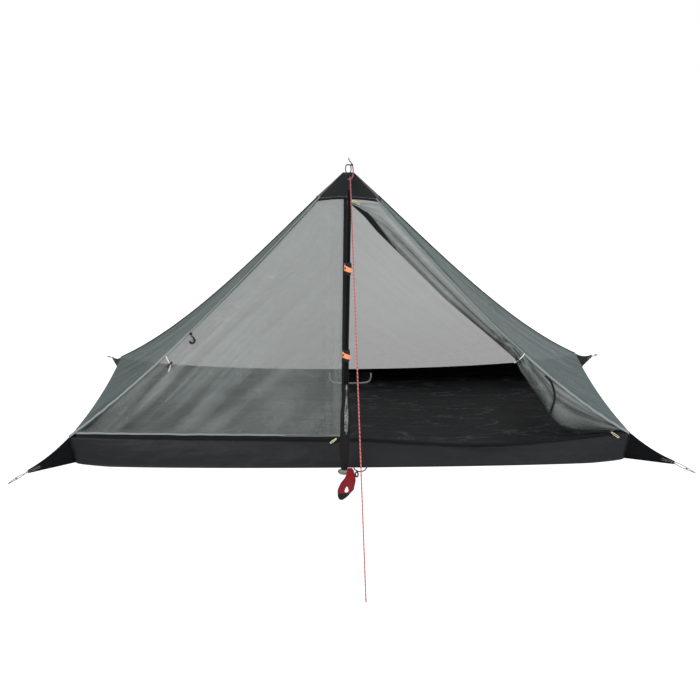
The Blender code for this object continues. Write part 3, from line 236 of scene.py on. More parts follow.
# Zips
TAPE_THICKNESS = 0.001
COIL_FORWARD = -0.0009
STITCH_FORWARD = -0.0006
WALL_TAPE = 0.009
HEM_TAPE = 0.01
HEM_START = 0.012
SILL_END = 0.03
DOOR_TAPE_WIDTH = 0.03
DOOR_TAPE_RIGHT = -0.003
SLIDER_LENGTH = 0.014
SLIDER_WIDTH = 0.009
SLIDER_THICKNESS = 0.0035
PULL_RADIUS = 0.0014
PULL_WIDTH = 0.006
TOP_SLIDER_HEIGHT = 1.078
LEFT_SLIDER_X = -0.055
RIGHT_SLIDER_X = 1.068
TOP_PULL = (0.046, -0.001, -0.004)
LEFT_PULL = (-0.026, -0.013, -0.015)
RIGHT_PULL = (0.032, -0.007, -0.022)

# The right door's free edge as (x, height), and the zip's loose end below its tie
DOOR_EDGE = ((0.0, 1.08), (0.06, 1.025), (0.11, 0.964), (0.378, 0.693), (0.6, 0.5), (0.661, 0.446),
             (0.684, 0.392), (0.734, 0.318), (0.793, 0.235), (0.806, 0.206), (0.82, 0.185),
             (0.838, 0.166), (0.862, 0.151), (0.895, 0.14), (0.94, 0.134), (1.000, 0.131),
             (1.03, 0.13), (1.06, 0.13), (1.12, 0.128))
GATHER_START = 0.008
GATHER_STOP = 1.11
TIE_X = 0.672
TIE_SEAM_X = 0.7
TIE_DEPTH = 0.048
ZIP_TAIL = ((0.786, 0.374), (0.812, 0.343), (0.828, 0.284), (0.817, 0.224), (0.805, 0.185))
TAIL_FORWARD = 0.0205

# Ties and hooks
TIE_RADIUS = 0.0019
LEFT_TIE_SHARE = 0.362
LEFT_HOOK_SHARE = 0.45
RIGHT_HOOK_SHARE = 0.437
HOOK_RADIUS = 0.0042

# Corner tie-outs: strap end and loop tip, measured from the tub's corner
STRAP_HEIGHT = 0.014
ELASTIC_RADIUS = 0.0016
LOOP_MOUTH = 0.008
LOOP_RISE = 0.0031
TIE_OUTS = {"front_left": ((-1, -1), (-0.148, -0.109, 0.0035), (-0.201, -0.217, 0.0018)),
            "front_right": ((1, -1), (0.17, -0.066, 0.0035), (0.23, -0.16, 0.0018)),
            "rear_left": ((-1, 1), (-0.084, 0.205, 0.046), (-0.137, 0.324, 0.03)),
            "rear_right": ((1, 1), (0.118, 0.174, 0.046), (0.175, 0.282, 0.03))}

# Guy line and foot loop
GUY_RADIUS = 0.0023
GUY_START = vec(0.007, -0.6912, 1.1803)
GUY_END = vec(0.042, -1.834, 0.0022)
GUY_SAG = 0.01
TAIL_ROUTE = ((0.0015, -0.648, 1.25), (0.004, -0.648, 1.24), (0.011, -0.647, 1.231),
              (0.017, -0.646, 1.216), (0.0185, -0.648, 1.202), (0.0175, -0.668, 1.188),
              (0.0155, -0.681, 1.1812), (0.0138, -0.689, 1.1811))
FOOT_LOOP_RADIUS = 0.0025
FOOT_LOOP_ROUTE = ((0.014, -0.669, 0.0022), (0.018, -0.69, 0.0016), (0.028, -0.708, 0.0016),
                   (0.04, -0.716, 0.0016), (0.054, -0.706, 0.0016), (0.062, -0.69, 0.0016),
                   (0.067, -0.669, 0.0022))

# Pole, measured along its own axis from the ground
POLE_FOOT = vec(-0.025, -0.737, 0.0)
POLE_PIVOT = vec(0.006, -0.684, 1.172)


# Sizes and colours that a user would change


def measure(name, description, default, low, high):
    return FloatProperty(
        name=name, description=description, default=default, min=low, max=high, unit="LENGTH")


def tint(name, description, default):
    return FloatVectorProperty(
        name=name, description=description, default=default, size=3, subtype="COLOR", min=0, max=1)


class TentCloth(bpy.types.PropertyGroup):
    """Cloth, seams and their finish."""

    cloth: measure("Nylon", "Thickness of the coated nylon", 0.0007, 0.0002, 0.0012)
    wrinkle: measure("Wrinkles", "Depth of the folds along the ridges", 0.011, 0.0, 0.02)
    seam_width: measure("Seam tape", "Width of the tape along each ridge", 0.009, 0.004, 0.014)
    stitch: measure("Stitch", "Length of one stitch", 0.003, 0.001, 0.006)
    stitch_pitch: measure("Stitch pitch", "From one stitch to the next", 0.0042, 0.002, 0.01)
    thread: measure("Thread", "Half the thread's width", 0.00035, 0.0001, 0.001)
    coil_pitch: measure(
        "Zip pitch", "From one turn of a zip's coil to the next", 0.0026, 0.0015, 0.005)
    net_spacing: measure("Net spacing", "From one row of holes to the next", 0.003, 0.001, 0.01)


class TentColours(bpy.types.PropertyGroup):
    """Colours of the tent's finishes."""

    netting: tint("Netting", "Yarn of the netting", (0.235, 0.262, 0.255))
    nylon: tint("Nylon", "Floor, walls and cone", (0.01, 0.0108, 0.0122))
    binding: tint("Binding", "Tape on the ridges and hems", (0.29, 0.33, 0.33))
    guy: tint("Guy line", "Main colour of the guy line", (0.62, 0.155, 0.165))
    lever: tint("Levers", "The pole's clamp levers", (0.9, 0.3, 0.135))


class TentStage(bpy.types.PropertyGroup):
    """Camera and light."""

    lens: FloatProperty(
        name="Lens", description="Focal length in millimetres", default=61.7, min=20, max=200)
    pitch: FloatProperty(name="Camera pitch", description="How far the camera looks down",
                         default=radians(15.57), subtype="ANGLE")
    key: FloatProperty(
        name="Key light", description="Power of the large lamp in watts", default=150.0, min=0)
    ambient: FloatProperty(
        name="Ambient", description="Strength of the light from all round", default=0.55, min=0)


def cloth():
    return bpy.context.scene.tent_cloth


# The slot of each finish, where it has another name than the finish
SLOTS = {"corner_nylon": "black_nylon", "seam_shade": "light_binding",
         "corner_elastic": "white_elastic", "lime_cord": "yellow_cord", "gold_cord": "yellow_cord",
         "grip_grey": "pommel_grey", "slider_metal": "zip_slider"}

# The pitched shape, as in the part's source


def bow(share, power=1.0):
    """0 at both ends of a side and 1 in its middle."""
    return max(0.0, 4 * share * (1 - share)) ** power


def front_plane(z):
    """The front panel's depth at a height: upright wall, then a slight forward lean."""
    rise = max(0.0, z - WALL_HEIGHT) / (APEX_HEIGHT - WALL_HEIGHT)
    return -HALF_DEPTH - APEX_FORWARD * rise


def front_sill(x):
    """Height of the front wall's top edge; it hangs lower where the door is open."""
    share = abs(x) / HALF_WIDTH
    drop = FRONT_SILL_DROP * (1 - share)
    if x > 0:
        drop += OPEN_SILL_DROP * sin(pi * min(1.0, share)) ** 1.5
    return WALL_HEIGHT - drop


def zip_left(z):
    """Left edge of the closed door's zip tape, which narrows towards the cone."""
    return DOOR_TAPE_RIGHT - min(DOOR_TAPE_WIDTH, 0.0155 + 0.019 * (1.08 - z))


def hem_wave(x):
    """How the light hem along the closed door's foot rises and dips."""
    return 0.0018 + 0.0018 * ripple(x * 11.0, 0.0, 67.0)


def straight_sill(x):
    """Height of the zip line along a closed door."""
    return WALL_HEIGHT - FRONT_SILL_DROP * (1 - abs(x) / HALF_WIDTH)


def wall_top(side, share):
    """A point on the wall's top edge; share runs anticlockwise seen from above."""
    if side == "front":
        x = -HALF_WIDTH + 2 * HALF_WIDTH * share
        return vec(x, -HALF_DEPTH, front_sill(x))
    if side == "rear":
        x = HALF_WIDTH - 2 * HALF_WIDTH * share
        lift = bow(share, 0.65)
        return vec(x, HALF_DEPTH - REAR_LEAN * lift, WALL_HEIGHT - REAR_DROP * lift)
    hand = 1 if side == "right" else -1
    y = hand * (-HALF_DEPTH + 2 * HALF_DEPTH * share)
    lift = bow(share)
    return vec(hand * (HALF_WIDTH - SIDE_LEAN * lift), y, WALL_HEIGHT - SIDE_DROP * lift)


def wall_foot(side, share):
    """A point on the floor's outline, below or outside the wall's top edge."""
    spot = wall_top(side, share)
    pull = TUB_CORNER_PULL * max(0.0, 1 - min(share, 1 - share) / CORNER_SPAN)
    if side == "front":
        spot.y = -HALF_DEPTH - FRONT_FOOT_BULGE * bow(share, 0.45)
    elif side == "rear":
        spot.y = HALF_DEPTH
    else:
        spot.x = copysign(HALF_WIDTH, spot.x)
    spot.x -= copysign(pull, spot.x)
    spot.y -= copysign(pull, spot.y)
    spot.z = 0.0
    return spot


def ridge(hand, end, t):
    """A point on a ridge seam: hand -1 left or 1 right, end -1 front or 1 rear."""
    corner = vec(hand * HALF_WIDTH, end * HALF_DEPTH, WALL_HEIGHT)
    spot = corner.lerp(APEX, t)
    peak_at = 1 / (1 + RIDGE_PEAK)
    peak = peak_at * (1 - peak_at) ** RIDGE_PEAK
    hang = RIDGE_SAG[hand, end] * t * (1 - t) ** RIDGE_PEAK / peak
    spot.z -= hang
    if end > 0:
        spot.y -= hang * REAR_SAG_FORWARD
    return spot


def ridge_share_at(hand, height):
    """Where a front ridge passes a height, as its share of the way to the apex."""
    low, high = 0.0, 1.0
    for _ in range(40):
        middle = (low + high) / 2
        if ridge(hand, -1, middle).z < height:
            low = middle
        else:
            high = middle
    return high


def curve_height(x, route):
    """Height on a route of (x, z) points in rising x."""
    for (xa, za), (xb, zb) in zip(route, route[1:]):
        if x <= xb:
            return za + (zb - za) * (x - xa) / (xb - xa)
    return route[-1][1]


def smooth_route(through, count):
    """Evenly spread points on a smooth curve through the given ones."""
    through = [Vector(spot) for spot in through]
    padded = [2 * through[0] - through[1], *through, 2 * through[-1] - through[-2]]
    fine = []
    steps = 16
    for a, b, c, d in zip(padded, padded[1:], padded[2:], padded[3:]):
        for k in range(steps):
            t = k / steps
            fine.append(0.5 * (2 * b + (c - a) * t + (2 * a - 5 * b + 4 * c - d) * t**2 +
                               (3 * b - a - 3 * c + d) * t**3))
    fine.append(through[-1])
    return spread(fine, count)


def travel(points):
    """How far along a line each of its points is."""
    lengths = [0.0]
    for a, b in zip(points, points[1:]):
        lengths.append(lengths[-1] + (b - a).length)
    return lengths


def spread(fine, count):
    """The same line with its points an even distance apart."""
    lengths = travel(fine)
    spots, at = [], 0
    for k in range(count):
        goal = lengths[-1] * k / (count - 1)
        while at < len(lengths) - 2 and lengths[at + 1] < goal:
            at += 1
        span = lengths[at + 1] - lengths[at]
        spots.append(fine[at].lerp(fine[at + 1], (goal - lengths[at]) / span))
    return spots


def shifted(route, x, y, z):
    return [spot + vec(x, y, z) for spot in route]


def route_length(points):
    return sum((b - a).length for a, b in zip(points, points[1:]))


def even(count, low=0.0, high=1.0):
    """Evenly spaced numbers from low to high."""
    return [low + (high - low) * k / (count - 1) for k in range(count)]


def frame_along(origin, z_axis, x_hint=vec(1, 0, 0)):
    """A frame with its Z along one direction and its X as near as can be to another."""
    z = z_axis.normalized()
    x = (x_hint - z * x_hint.dot(z)).normalized()
    turn = Matrix((x, z.cross(x), z)).transposed().to_4x4()
    return Matrix.Translation(origin) @ turn


def limited(value):
    """A share kept between 0 and 1."""
    return max(0.0, min(1.0, value))


def ripple(x, y, seed):
    """Smooth repeatable unevenness from about -1 to 1."""
    return 1.6 * noise.noise(vec(x, y, seed))


# Meshes


def dress(obj, finish, body, *nodes, slot="usual"):
    """Gives a finished object its material, body and slot, and hides the nodes it replaces."""
    obj.data.materials.clear()
    obj.data.materials.append(FINISHES[finish])
    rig.ride(obj, body)
    if nodes:
        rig.replaces(obj, *nodes)
    if slot == "usual":
        slot = "grey_mesh" if finish.endswith("netting") else SLOTS.get(finish, finish)
    if slot:
        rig.slot(obj, slot)


def mesh_object(name, points, faces, uvs=None):
    """A linked object from points, faces and one UV for each point."""
    mesh = bpy.data.meshes.new(name)
    mesh.from_pydata([tuple(p) for p in points], [], faces)
    if uvs is not None:
        layer = mesh.uv_layers.new(name="Surface")
        for loop in mesh.loops:
            layer.data[loop.index].uv = uvs[loop.vertex_index]
    mesh.shade_smooth()
    return linked(name, mesh)


def linked(name, data):
    obj = bpy.data.objects.new(name, data)
    bpy.context.scene.collection.objects.link(obj)
    return obj


def settle(obj):
    """Turns an object with modifiers into a plain mesh."""
    depsgraph = bpy.context.evaluated_depsgraph_get()
    plain = bpy.data.meshes.new_from_object(
        obj.evaluated_get(depsgraph), preserve_all_data_layers=True, depsgraph=depsgraph)
    old = obj.data
    obj.modifiers.clear()
    obj.data = plain
    if isinstance(old, bpy.types.Mesh):
        bpy.data.meshes.remove(old)
    plain.name = obj.name
    return obj


def thicken(obj, thickness, offset=0.0):
    """Gives a single surface a thickness."""
    solidify = obj.modifiers.new("Thickness", "SOLIDIFY")
    solidify.thickness = thickness
    solidify.offset = offset
    solidify.use_even_offset = False
    return settle(obj)


def quads(rows, columns, closed=False):
    """Faces of a grid of points; closed joins its last row to its first."""
    faces = []
    for i in range(rows if closed else rows - 1):
        a, b = i * columns, (i + 1) % rows * columns
        faces += [(a + j, a + j + 1, b + j + 1, b + j) for j in range(columns - 1)]
    return faces


def sharpened(obj):
    obj.data.set_sharp_from_angle(angle=SHARP_ANGLE)
    return obj


def grid_object(name, rows, away_from=INSIDE, fold_shade_rows=None):
    """A surface through rows of points, facing away from a point, with UVs in metres."""
    columns = len(rows[0])
    points = [spot for row in rows for spot in row]
    faces = quads(len(rows), columns)
    middle_row, middle = len(rows) // 2, columns // 2
    spot = rows[middle_row][middle]
    across = rows[middle_row][middle + 1] - rows[middle_row][middle - 1]
    along = rows[middle_row + 1][middle] - rows[middle_row - 1][middle]
    if across.cross(along).dot(spot - away_from) < 0:
        faces = [face[::-1] for face in faces]
    obj = mesh_object(name, points, faces, surface_uvs(rows))
    # Painted light and shade along the netting's folds, kept as the crease attribute
    if fold_shade_rows is not None:
        layer = obj.data.attributes.new("crease", "FLOAT", "POINT")
        layer.data.foreach_set("value", [value for row in fold_shade_rows for value in row])
    return obj


def surface_uvs(rows):
    """Distances across and along a grid, in metres."""
    result = []
    middle = len(rows[0]) // 2
    for row, rise in zip(rows, travel([row[middle] for row in rows])):
        steps = travel(row)
        result += [(step - steps[middle], rise) for step in steps]
    return result


def tube_object(name, points, radius, sides=8, closed=False):
    """A round cord along points, with UVs (distance along, share round); radius may vary."""
    radii = radius if isinstance(radius, (list, tuple)) else [radius] * len(points)
    count = len(points)
    rings, uvs = [], []
    side = None
    for i, (spot, travelled) in enumerate(zip(points, travel(points))):
        if closed:
            along = (points[(i + 1) % count] - points[i - 1]).normalized()
        else:
            along = (points[min(i + 1, count - 1)] - points[max(i - 1, 0)]).normalized()
        if side is None:
            side = UP if abs(along.z) < 0.9 else vec(1, 0, 0)
        side = (side - along * side.dot(along)).normalized()
        up = along.cross(side)
        for k in range(sides + 1):
            angle = 2 * pi * k / sides
            rings.append(spot + (side * cos(angle) + up * sin(angle)) * radii[i])
            uvs.append((travelled, k / sides))
    faces = quads(count, sides + 1, closed)
    if not closed:
        last = (count - 1) * (sides + 1)
        faces += [tuple(range(sides))[::-1], tuple(range(last, last + sides))]
    return weld_seam(mesh_object(name, rings, faces, uvs))


def weld_seam(obj):
    """Joins the doubled points where a round piece meets itself and faces it outwards."""
    weld(obj, WELD_REACH / 2)
    settle(obj)
    obj.data.validate()
    return face_out(obj)


def weld(obj, reach):
    obj.modifiers.new("Weld", "WELD").merge_threshold = reach


def face_out(obj):
    """Turns a closed piece's faces outwards."""
    volume = 0.0
    for face in obj.data.polygons:
        spots = [obj.data.vertices[i].co for i in face.vertices]
        for b, c in zip(spots[1:], spots[2:]):
            volume += spots[0].dot(b.cross(c))
    if volume < 0:
        obj.data.flip_normals()
    return obj


def round_spot(place, reach, angle, height):
    """A point about a frame's Z axis."""
    return place @ vec(reach * cos(angle), reach * sin(angle), height)


def circle(place, reach, count, height=0.0, deep=None):
    """Points on a circle about a frame's Z axis, or on an oval as deep as given."""
    deep = reach if deep is None else deep
    return [place @ vec(reach * cos(a), deep * sin(a), height)
            for a in even(count + 1, 0, 2 * pi)[:-1]]


def mirrored(half, middle=()):
    """A list of pairs, first with their second numbers below nought, and then back above."""
    return [*((a, -b) for a, b in half), *middle, *half[::-1]]


def turned_object(name, profile, place, sides=48):
    """A profile of (radius, height) points turned about a frame's Z axis."""
    points, uvs = [], []
    lengths = [0.0]
    for (ra, ha), (rb, hb) in zip(profile, profile[1:]):
        lengths.append(lengths[-1] + hypot(rb - ra, hb - ha))
    for (radius, height), length in zip(profile, lengths):
        for k in range(sides + 1):
            points.append(round_spot(place, radius, 2 * pi * k / sides, height))
            uvs.append((k / sides, length))
    faces = quads(len(profile), sides + 1)
    return sharpened(weld_seam(mesh_object(name, points, faces, uvs)))


def band_rows(route, wide_axes, width, columns, crown):
    """Rows of points across a flat band along a route, lifted by crown in its middle."""
    rows = []
    last = len(route) - 1
    for i, spot in enumerate(route):
        along = (route[min(i + 1, last)] - route[max(i - 1, 0)]).normalized()
        wide = wide_axes[i] - along * wide_axes[i].dot(along)
        wide.normalize()
        out = along.cross(wide).normalized()
        row = []
        for j in range(columns + 1):
            u = j / columns - 0.5
            row.append(spot + wide * (u * width * wide_axes[i].length) + out *
                       (crown * bow(u + 0.5)))
        rows.append(row)
    return rows


def ribbon(name, route, wide, width, thickness, columns=4, crown=0.0):
    """A flat band along a route, closed all round; wide is one axis or one for each point."""
    axes = wide if isinstance(wide, list) else [Vector(wide)] * len(route)
    rows = band_rows(route, axes, width, columns, crown)
    return thicken(grid_object(name, rows), thickness)


def sweep_object(name, rings):
    """A solid through closed rings of points, capped at both ends."""
    count = len(rings[0])
    points = [spot for ring in rings for spot in ring]
    faces = []
    for i in range(len(rings) - 1):
        for k in range(count):
            n = (k + 1) % count
            faces.append((i * count + k, i * count + n, (i + 1) * count + n, (i + 1) * count + k))
    last = (len(rings) - 1) * count
    faces += [tuple(range(count))[::-1], tuple(range(last, last + count))]
    return sharpened(face_out(mesh_object(name, points, faces)))


def rows_area(rows):
    """The area of a surface through rows of points."""
    total = 0.0
    for low, high in zip(rows, rows[1:]):
        for a, b, c, d in zip(low, low[1:], high[1:], high):
            total += ((c - a).cross(d - b)).length / 2
    return total


# Node trees


def put(tree, kind, inputs=None, **settings):
    """Adds a node, sets it up, and links or fills its inputs."""
    made = tree.nodes.new(kind)
    for key, value in settings.items():
        setattr(made, key, value)
    for key, value in (inputs or {}).items():
        fill(tree, made.inputs[key], value)
    return made


def fill(tree, socket, value):
    """Sets an input, or links it to an output or to a node's first output."""
    if isinstance(value, bpy.types.Node):
        value = value.outputs[0]
    if isinstance(value, bpy.types.NodeSocket):
        tree.links.new(value, socket)
    else:
        socket.default_value = value


def maths(tree, operation, first, second=0.0, third=0.0):
    inputs = {0: first, 1: second, 2: third}
    return put(tree, "ShaderNodeMath", inputs, operation=operation)


def times(tree, first, second):
    return maths(tree, "MULTIPLY", first, second)


def scaled(tree, value, share, start):
    return maths(tree, "MULTIPLY_ADD", value, share, start)


def part_of(tree, vector, axis):
    return put(tree, "ShaderNodeSeparateXYZ", {0: vector}).outputs[axis]


def wave(tree, turns):
    """A sine of a number of turns."""
    return maths(tree, "SINE", times(tree, turns, 2 * pi))


def cross_waves(tree, vector, pitch):
    """Sines along X and along Y, one turn for each pitch."""
    return [wave(tree, maths(tree, "DIVIDE", part_of(tree, vector, axis), pitch))
            for axis in ("X", "Y")]


def shader_group(name, outputs, **inputs):
    """An empty shader group with float inputs after its Vector, and float outputs."""
    tree = bpy.data.node_groups.new(name, "ShaderNodeTree")
    tree.interface.new_socket("Vector", in_out="INPUT", socket_type="NodeSocketVector")
    for key, default in inputs.items():
        made = tree.interface.new_socket(
            key.replace("_", " "), in_out="INPUT", socket_type="NodeSocketFloat")
        made.default_value = default
    for label in outputs:
        tree.interface.new_socket(label, in_out="OUTPUT", socket_type="NodeSocketFloat")
    source = tree.nodes.new("NodeGroupInput").outputs
    sink = tree.nodes.new("NodeGroupOutput").inputs
    return tree, source, sink


def build_net_group():
    """Rows of small holes: how much yarn covers each spot, and its height."""
    tree, source, sink = shader_group(
        "net_holes", ("Alpha", "Height"), Spacing=0.003, Cover=0.5, Contrast=0.12)
    yarn = maths(tree, "MAXIMUM", *cross_waves(tree, source["Vector"], source["Spacing"]))
    swing = maths(tree, "SUBTRACT", yarn, 0.4)
    alpha = scaled(tree, swing, source["Contrast"], source["Cover"])
    clamped = put(tree, "ShaderNodeClamp", {0: alpha})
    fill(tree, sink["Alpha"], clamped)
    fill(tree, sink["Height"], yarn)


def build_mottle_group():
    """Soft patches a little lighter and darker than 1, and the same pattern as a mask."""
    tree, source, sink = shader_group(
        "soft_mottle", ("Tone", "Mask"), Scale=8.0, Amount=0.1, Detail=3.0)
    cloud = put(tree, "ShaderNodeTexNoise", {
        "Vector": source["Vector"], "Scale": source["Scale"], "Detail": source["Detail"]})
    centred = maths(tree, "SUBTRACT", cloud, 0.5)
    double = times(tree, centred, 2.0)
    tone = scaled(tree, double, source["Amount"], 1.0)
    fill(tree, sink["Tone"], tone)
    fill(tree, sink["Mask"], cloud)


def build_crinkle_group():
    """Sharp creases in coated cloth, stretched along X, as a height and a thin line mask."""
    tree, source, sink = shader_group("cloth_crinkle", ("Height", "Line"), Scale=9.0, Stretch=0.25)
    squeeze = put(tree, "ShaderNodeCombineXYZ", {0: source["Stretch"], 1: 1.0, 2: 1.0})
    bent = put(tree, "ShaderNodeVectorMath", {0: source["Vector"], 1: squeeze},
               operation="MULTIPLY")
    cloud = put(tree, "ShaderNodeTexNoise", {"Vector": bent, "Scale": source["Scale"],
                                             "Detail": 4.0, "Roughness": 0.55, "Distortion": 0.6})
    centred = maths(tree, "SUBTRACT", cloud, 0.5)
    fold = maths(tree, "ABSOLUTE", centred)
    height = maths(tree, "SUBTRACT", 1.0, times(tree, fold, 5.0))
    line = put(tree, "ShaderNodeMapRange", {0: fold, 1: 0.0, 2: 0.012, 3: 1.0, 4: 0.0})
    fill(tree, sink["Height"], height)
    fill(tree, sink["Line"], line)


def build_ripstop_group():
    """The small squares of thicker threads in ripstop cloth, as a mask."""
    tree, source, sink = shader_group("ripstop_squares", ("Mask",), Spacing=0.005, Width=0.0006)
    half = times(tree, source["Spacing"], 0.5)
    lines = []
    for axis in ("X", "Y"):
        away = maths(tree, "PINGPONG", part_of(tree, source["Vector"], axis), half)
        lines.append(maths(tree, "LESS_THAN", away, source["Width"]))
    fill(tree, sink["Mask"], maths(tree, "MAXIMUM", *lines))


def build_weave_group():
    """The over-and-under of a woven tape, as a height."""
    tree, source, sink = shader_group("tape_weave", ("Height",), Pitch=0.0016)
    waves = cross_waves(tree, source["Vector"], source["Pitch"])
    fill(tree, sink["Height"], times(tree, *waves))


def build_braid_group():
    """The crossing strands of a braided cord, as a height, and its marker flecks."""
    tree, source, sink = shader_group(
        "cord_braid", ("Height", "Fleck"), Pitch=0.005, Strands=3.0, Fleck_Pitch=0.015)
    length, turn = (part_of(tree, source["Vector"], axis) for axis in ("X", "Y"))
    along = maths(tree, "DIVIDE", length, source["Pitch"])
    around = times(tree, turn, source["Strands"])
    waves = [wave(tree, maths(tree, way, along, around)) for way in ("ADD", "SUBTRACT")]
    fill(tree, sink["Height"], maths(tree, "MAXIMUM", *waves))
    steps = maths(tree, "DIVIDE", length, source["Fleck Pitch"])
    place = maths(tree, "FRACT", maths(tree, "ADD", steps, turn))
    fill(tree, sink["Fleck"], maths(tree, "LESS_THAN", place, 0.3))


def use_group(tree, name, vector, **values):
    """Places a shader group and fills its inputs; underscores stand for spaces."""
    made = put(tree, "ShaderNodeGroup", node_tree=bpy.data.node_groups[name])
    fill(tree, made.inputs["Vector"], vector)
    for key, value in values.items():
        made.inputs[key.replace("_", " ")].default_value = value
    return made.outputs


def mottle(tree, vector, scale, amount, detail=3.0):
    return use_group(tree, "soft_mottle", vector, Scale=scale, Amount=amount, Detail=detail)


def crinkles(tree, vector, scale, stretch):
    return use_group(tree, "cloth_crinkle", vector, Scale=scale, Stretch=stretch)


# Materials

# Painted shade on slack netting, with darker level fold lines: most at the floor, none above 0.44 m
SLACK_FALL = -2.6
SLACK_FOOT = 1.15
SLACK_SHADE_LINE = -0.35
SLACK_SHADE = -0.4

# Painted highlights on the nylon's creases: strong on the floor inside, faint on walls and cone
FLOOR_TOP = 0.012
FLOOR_FRONT = 0.015 - HALF_DEPTH
FLOOR_PAINTED_GLINT = 5.5
WALL_PAINTED_GLINT = 0.25


def rougher(tree, shader, mask, amount, start):
    """Roughness that rises with a mask."""
    fill(tree, shader.inputs["Roughness"], scaled(tree, mask, amount, start))


def shades(tree, shader, colour, tone):
    """A colour made lighter or darker by a value about 1."""
    made = put(tree, "ShaderNodeHueSaturation", {"Value": tone, "Color": (*colour, 1.0)})
    fill(tree, shader.inputs["Base Color"], made)


def new_material(name, colour, roughness, metallic=0.0, **more):
    """A Principled material; returns its tree, its shader, and object and surface vectors."""
    made = bpy.data.materials.new(f"tent_{name}")
    FINISHES[name] = made
    made.use_nodes = True
    tree = made.node_tree
    shader = tree.nodes["Principled BSDF"]
    shader.inputs["Base Color"].default_value = (*colour, 1.0)
    shader.inputs["Roughness"].default_value = roughness
    shader.inputs["Metallic"].default_value = metallic
    for key, value in more.items():
        shader.inputs[key.replace("_", " ")].default_value = value
    places = put(tree, "ShaderNodeTexCoord").outputs
    return tree, shader, places["Object"], places["UV"]


def bump(tree, shader, height, distance, strength=1.0):
    made = put(tree, "ShaderNodeBump", {
        "Height": height, "Distance": distance, "Strength": strength})
    fill(tree, shader.inputs["Normal"], made)


def make_netting(name, colour, cover, fold_shading_amount=0.3, thicker=0.0, crinkle_highlight=0.0, slack_shade=0.0):
    """See-through netting with painted light and shade along its folds and crinkles, and more or less see-through
    where folded.
    """
    tree, shader, place, surface = new_material(name, colour, 0.85, Specular_IOR_Level=0.15)
    net = use_group(tree, "net_holes", surface, Spacing=cloth().net_spacing, Cover=cover)
    broad = mottle(tree, place, 2.2, 0.12)
    fine = mottle(tree, surface, 60.0, 0.06, 2.0)
    # The crease attribute holds painted light and shade along each fold; it also makes folds less see-through
    fold = put(tree, "ShaderNodeAttribute", attribute_name="crease").outputs["Fac"]
    folded = scaled(tree, fold, fold_shading_amount, 1.0)
    # Thin crinkle lines are painted lighter: painted highlights
    crinkle = crinkles(tree, place, 4.5, 0.6)
    folded = scaled(tree, crinkle["Line"], crinkle_highlight, folded)
    # The lower netting and its level fold lines are painted darker: painted shade
    fall = scaled(tree, part_of(tree, place, "Z"), SLACK_FALL, SLACK_FOOT)
    low = maths(tree, "MAXIMUM", fall, 0.0)
    level = crinkles(tree, place, 13.0, 0.1)
    slack_shading = scaled(tree, level["Line"], SLACK_SHADE_LINE, SLACK_SHADE)
    slack_shading = times(tree, times(tree, slack_shading, low), slack_shade)
    folded = maths(tree, "ADD", folded, slack_shading)
    tone = times(tree, times(tree, broad["Tone"], fine["Tone"]), folded)
    shades(tree, shader, colour, tone)
    fill(tree, shader.inputs["Alpha"], scaled(tree, fold, thicker, net["Alpha"]))
    bump(tree, shader, net["Height"], 0.0002)


def make_nylon(name, colour, gloss):
    """Coated ripstop nylon, nearly black, with highlights painted on its creases."""
    tree, shader, place, surface = new_material(name, colour, 0.5, Specular_IOR_Level=gloss)
    squares = use_group(tree, "ripstop_squares", surface)
    crinkle = crinkles(tree, place, 7.0, 0.3)
    small = crinkles(tree, place, 24.0, 0.55)
    broad = mottle(tree, place, 3.5, 0.25)
    lines = scaled(tree, squares["Mask"], 0.22, broad["Tone"])
    # The crease lines are painted lighter: painted highlights, strongest on the floor inside
    flat = maths(tree, "LESS_THAN", part_of(tree, place, "Z"), FLOOR_TOP)
    inside = maths(tree, "GREATER_THAN", part_of(tree, place, "Y"), FLOOR_FRONT)
    painted_glint = scaled(tree, times(tree, flat, inside), FLOOR_PAINTED_GLINT, WALL_PAINTED_GLINT)
    tone = maths(tree, "ADD", lines, times(tree, crinkle["Line"], painted_glint))
    shades(tree, shader, colour, tone)
    rougher(tree, shader, broad["Mask"], 0.3, 0.33)
    height = scaled(tree, small["Height"], 0.35, crinkle["Height"])
    bump(tree, shader, height, 0.0022, 0.8)


def make_woven(name, colour, roughness, pitch=0.0016):
    """Woven tape or webbing."""
    tree, shader, place, surface = new_material(
        name, colour, roughness, Specular_IOR_Level=0.14, Sheen_Weight=0.05)
    weave = use_group(tree, "tape_weave", surface, Pitch=pitch)
    worn = mottle(tree, place, 35.0, 0.12)
    shade = scaled(tree, weave["Height"], 0.15, worn["Tone"])
    shades(tree, shader, colour, shade)
    bump(tree, shader, weave["Height"], 0.0003)


def make_cord(name, colour, fleck, pitch=0.005, fleck_pitch=0.015, shade_from=9.0):
    """Braided cord with marker flecks, painted darker above a given height: painted shade."""
    tree, shader, place, surface = new_material(
        name, colour, 0.65, Specular_IOR_Level=0.3, Sheen_Weight=0.1)
    braid = use_group(tree, "cord_braid", surface, Pitch=pitch, Fleck_Pitch=fleck_pitch)
    # Darker above the given height, mixed with the marker flecks: painted shade
    rise = maths(tree, "SUBTRACT", part_of(tree, place, "Z"), shade_from)
    painted_shade = maths(tree, "MINIMUM", times(tree, rise, 1.7), 0.75)
    mixed = maths(tree, "MAXIMUM", painted_shade, braid["Fleck"])
    mixed = put(tree, "ShaderNodeMix", {
        0: mixed, 6: (*colour, 1.0), 7: (*fleck, 1.0)}, data_type="RGBA")
    fill(tree, shader.inputs["Base Color"], mixed.outputs[2])
    bump(tree, shader, braid["Height"], 0.0004)


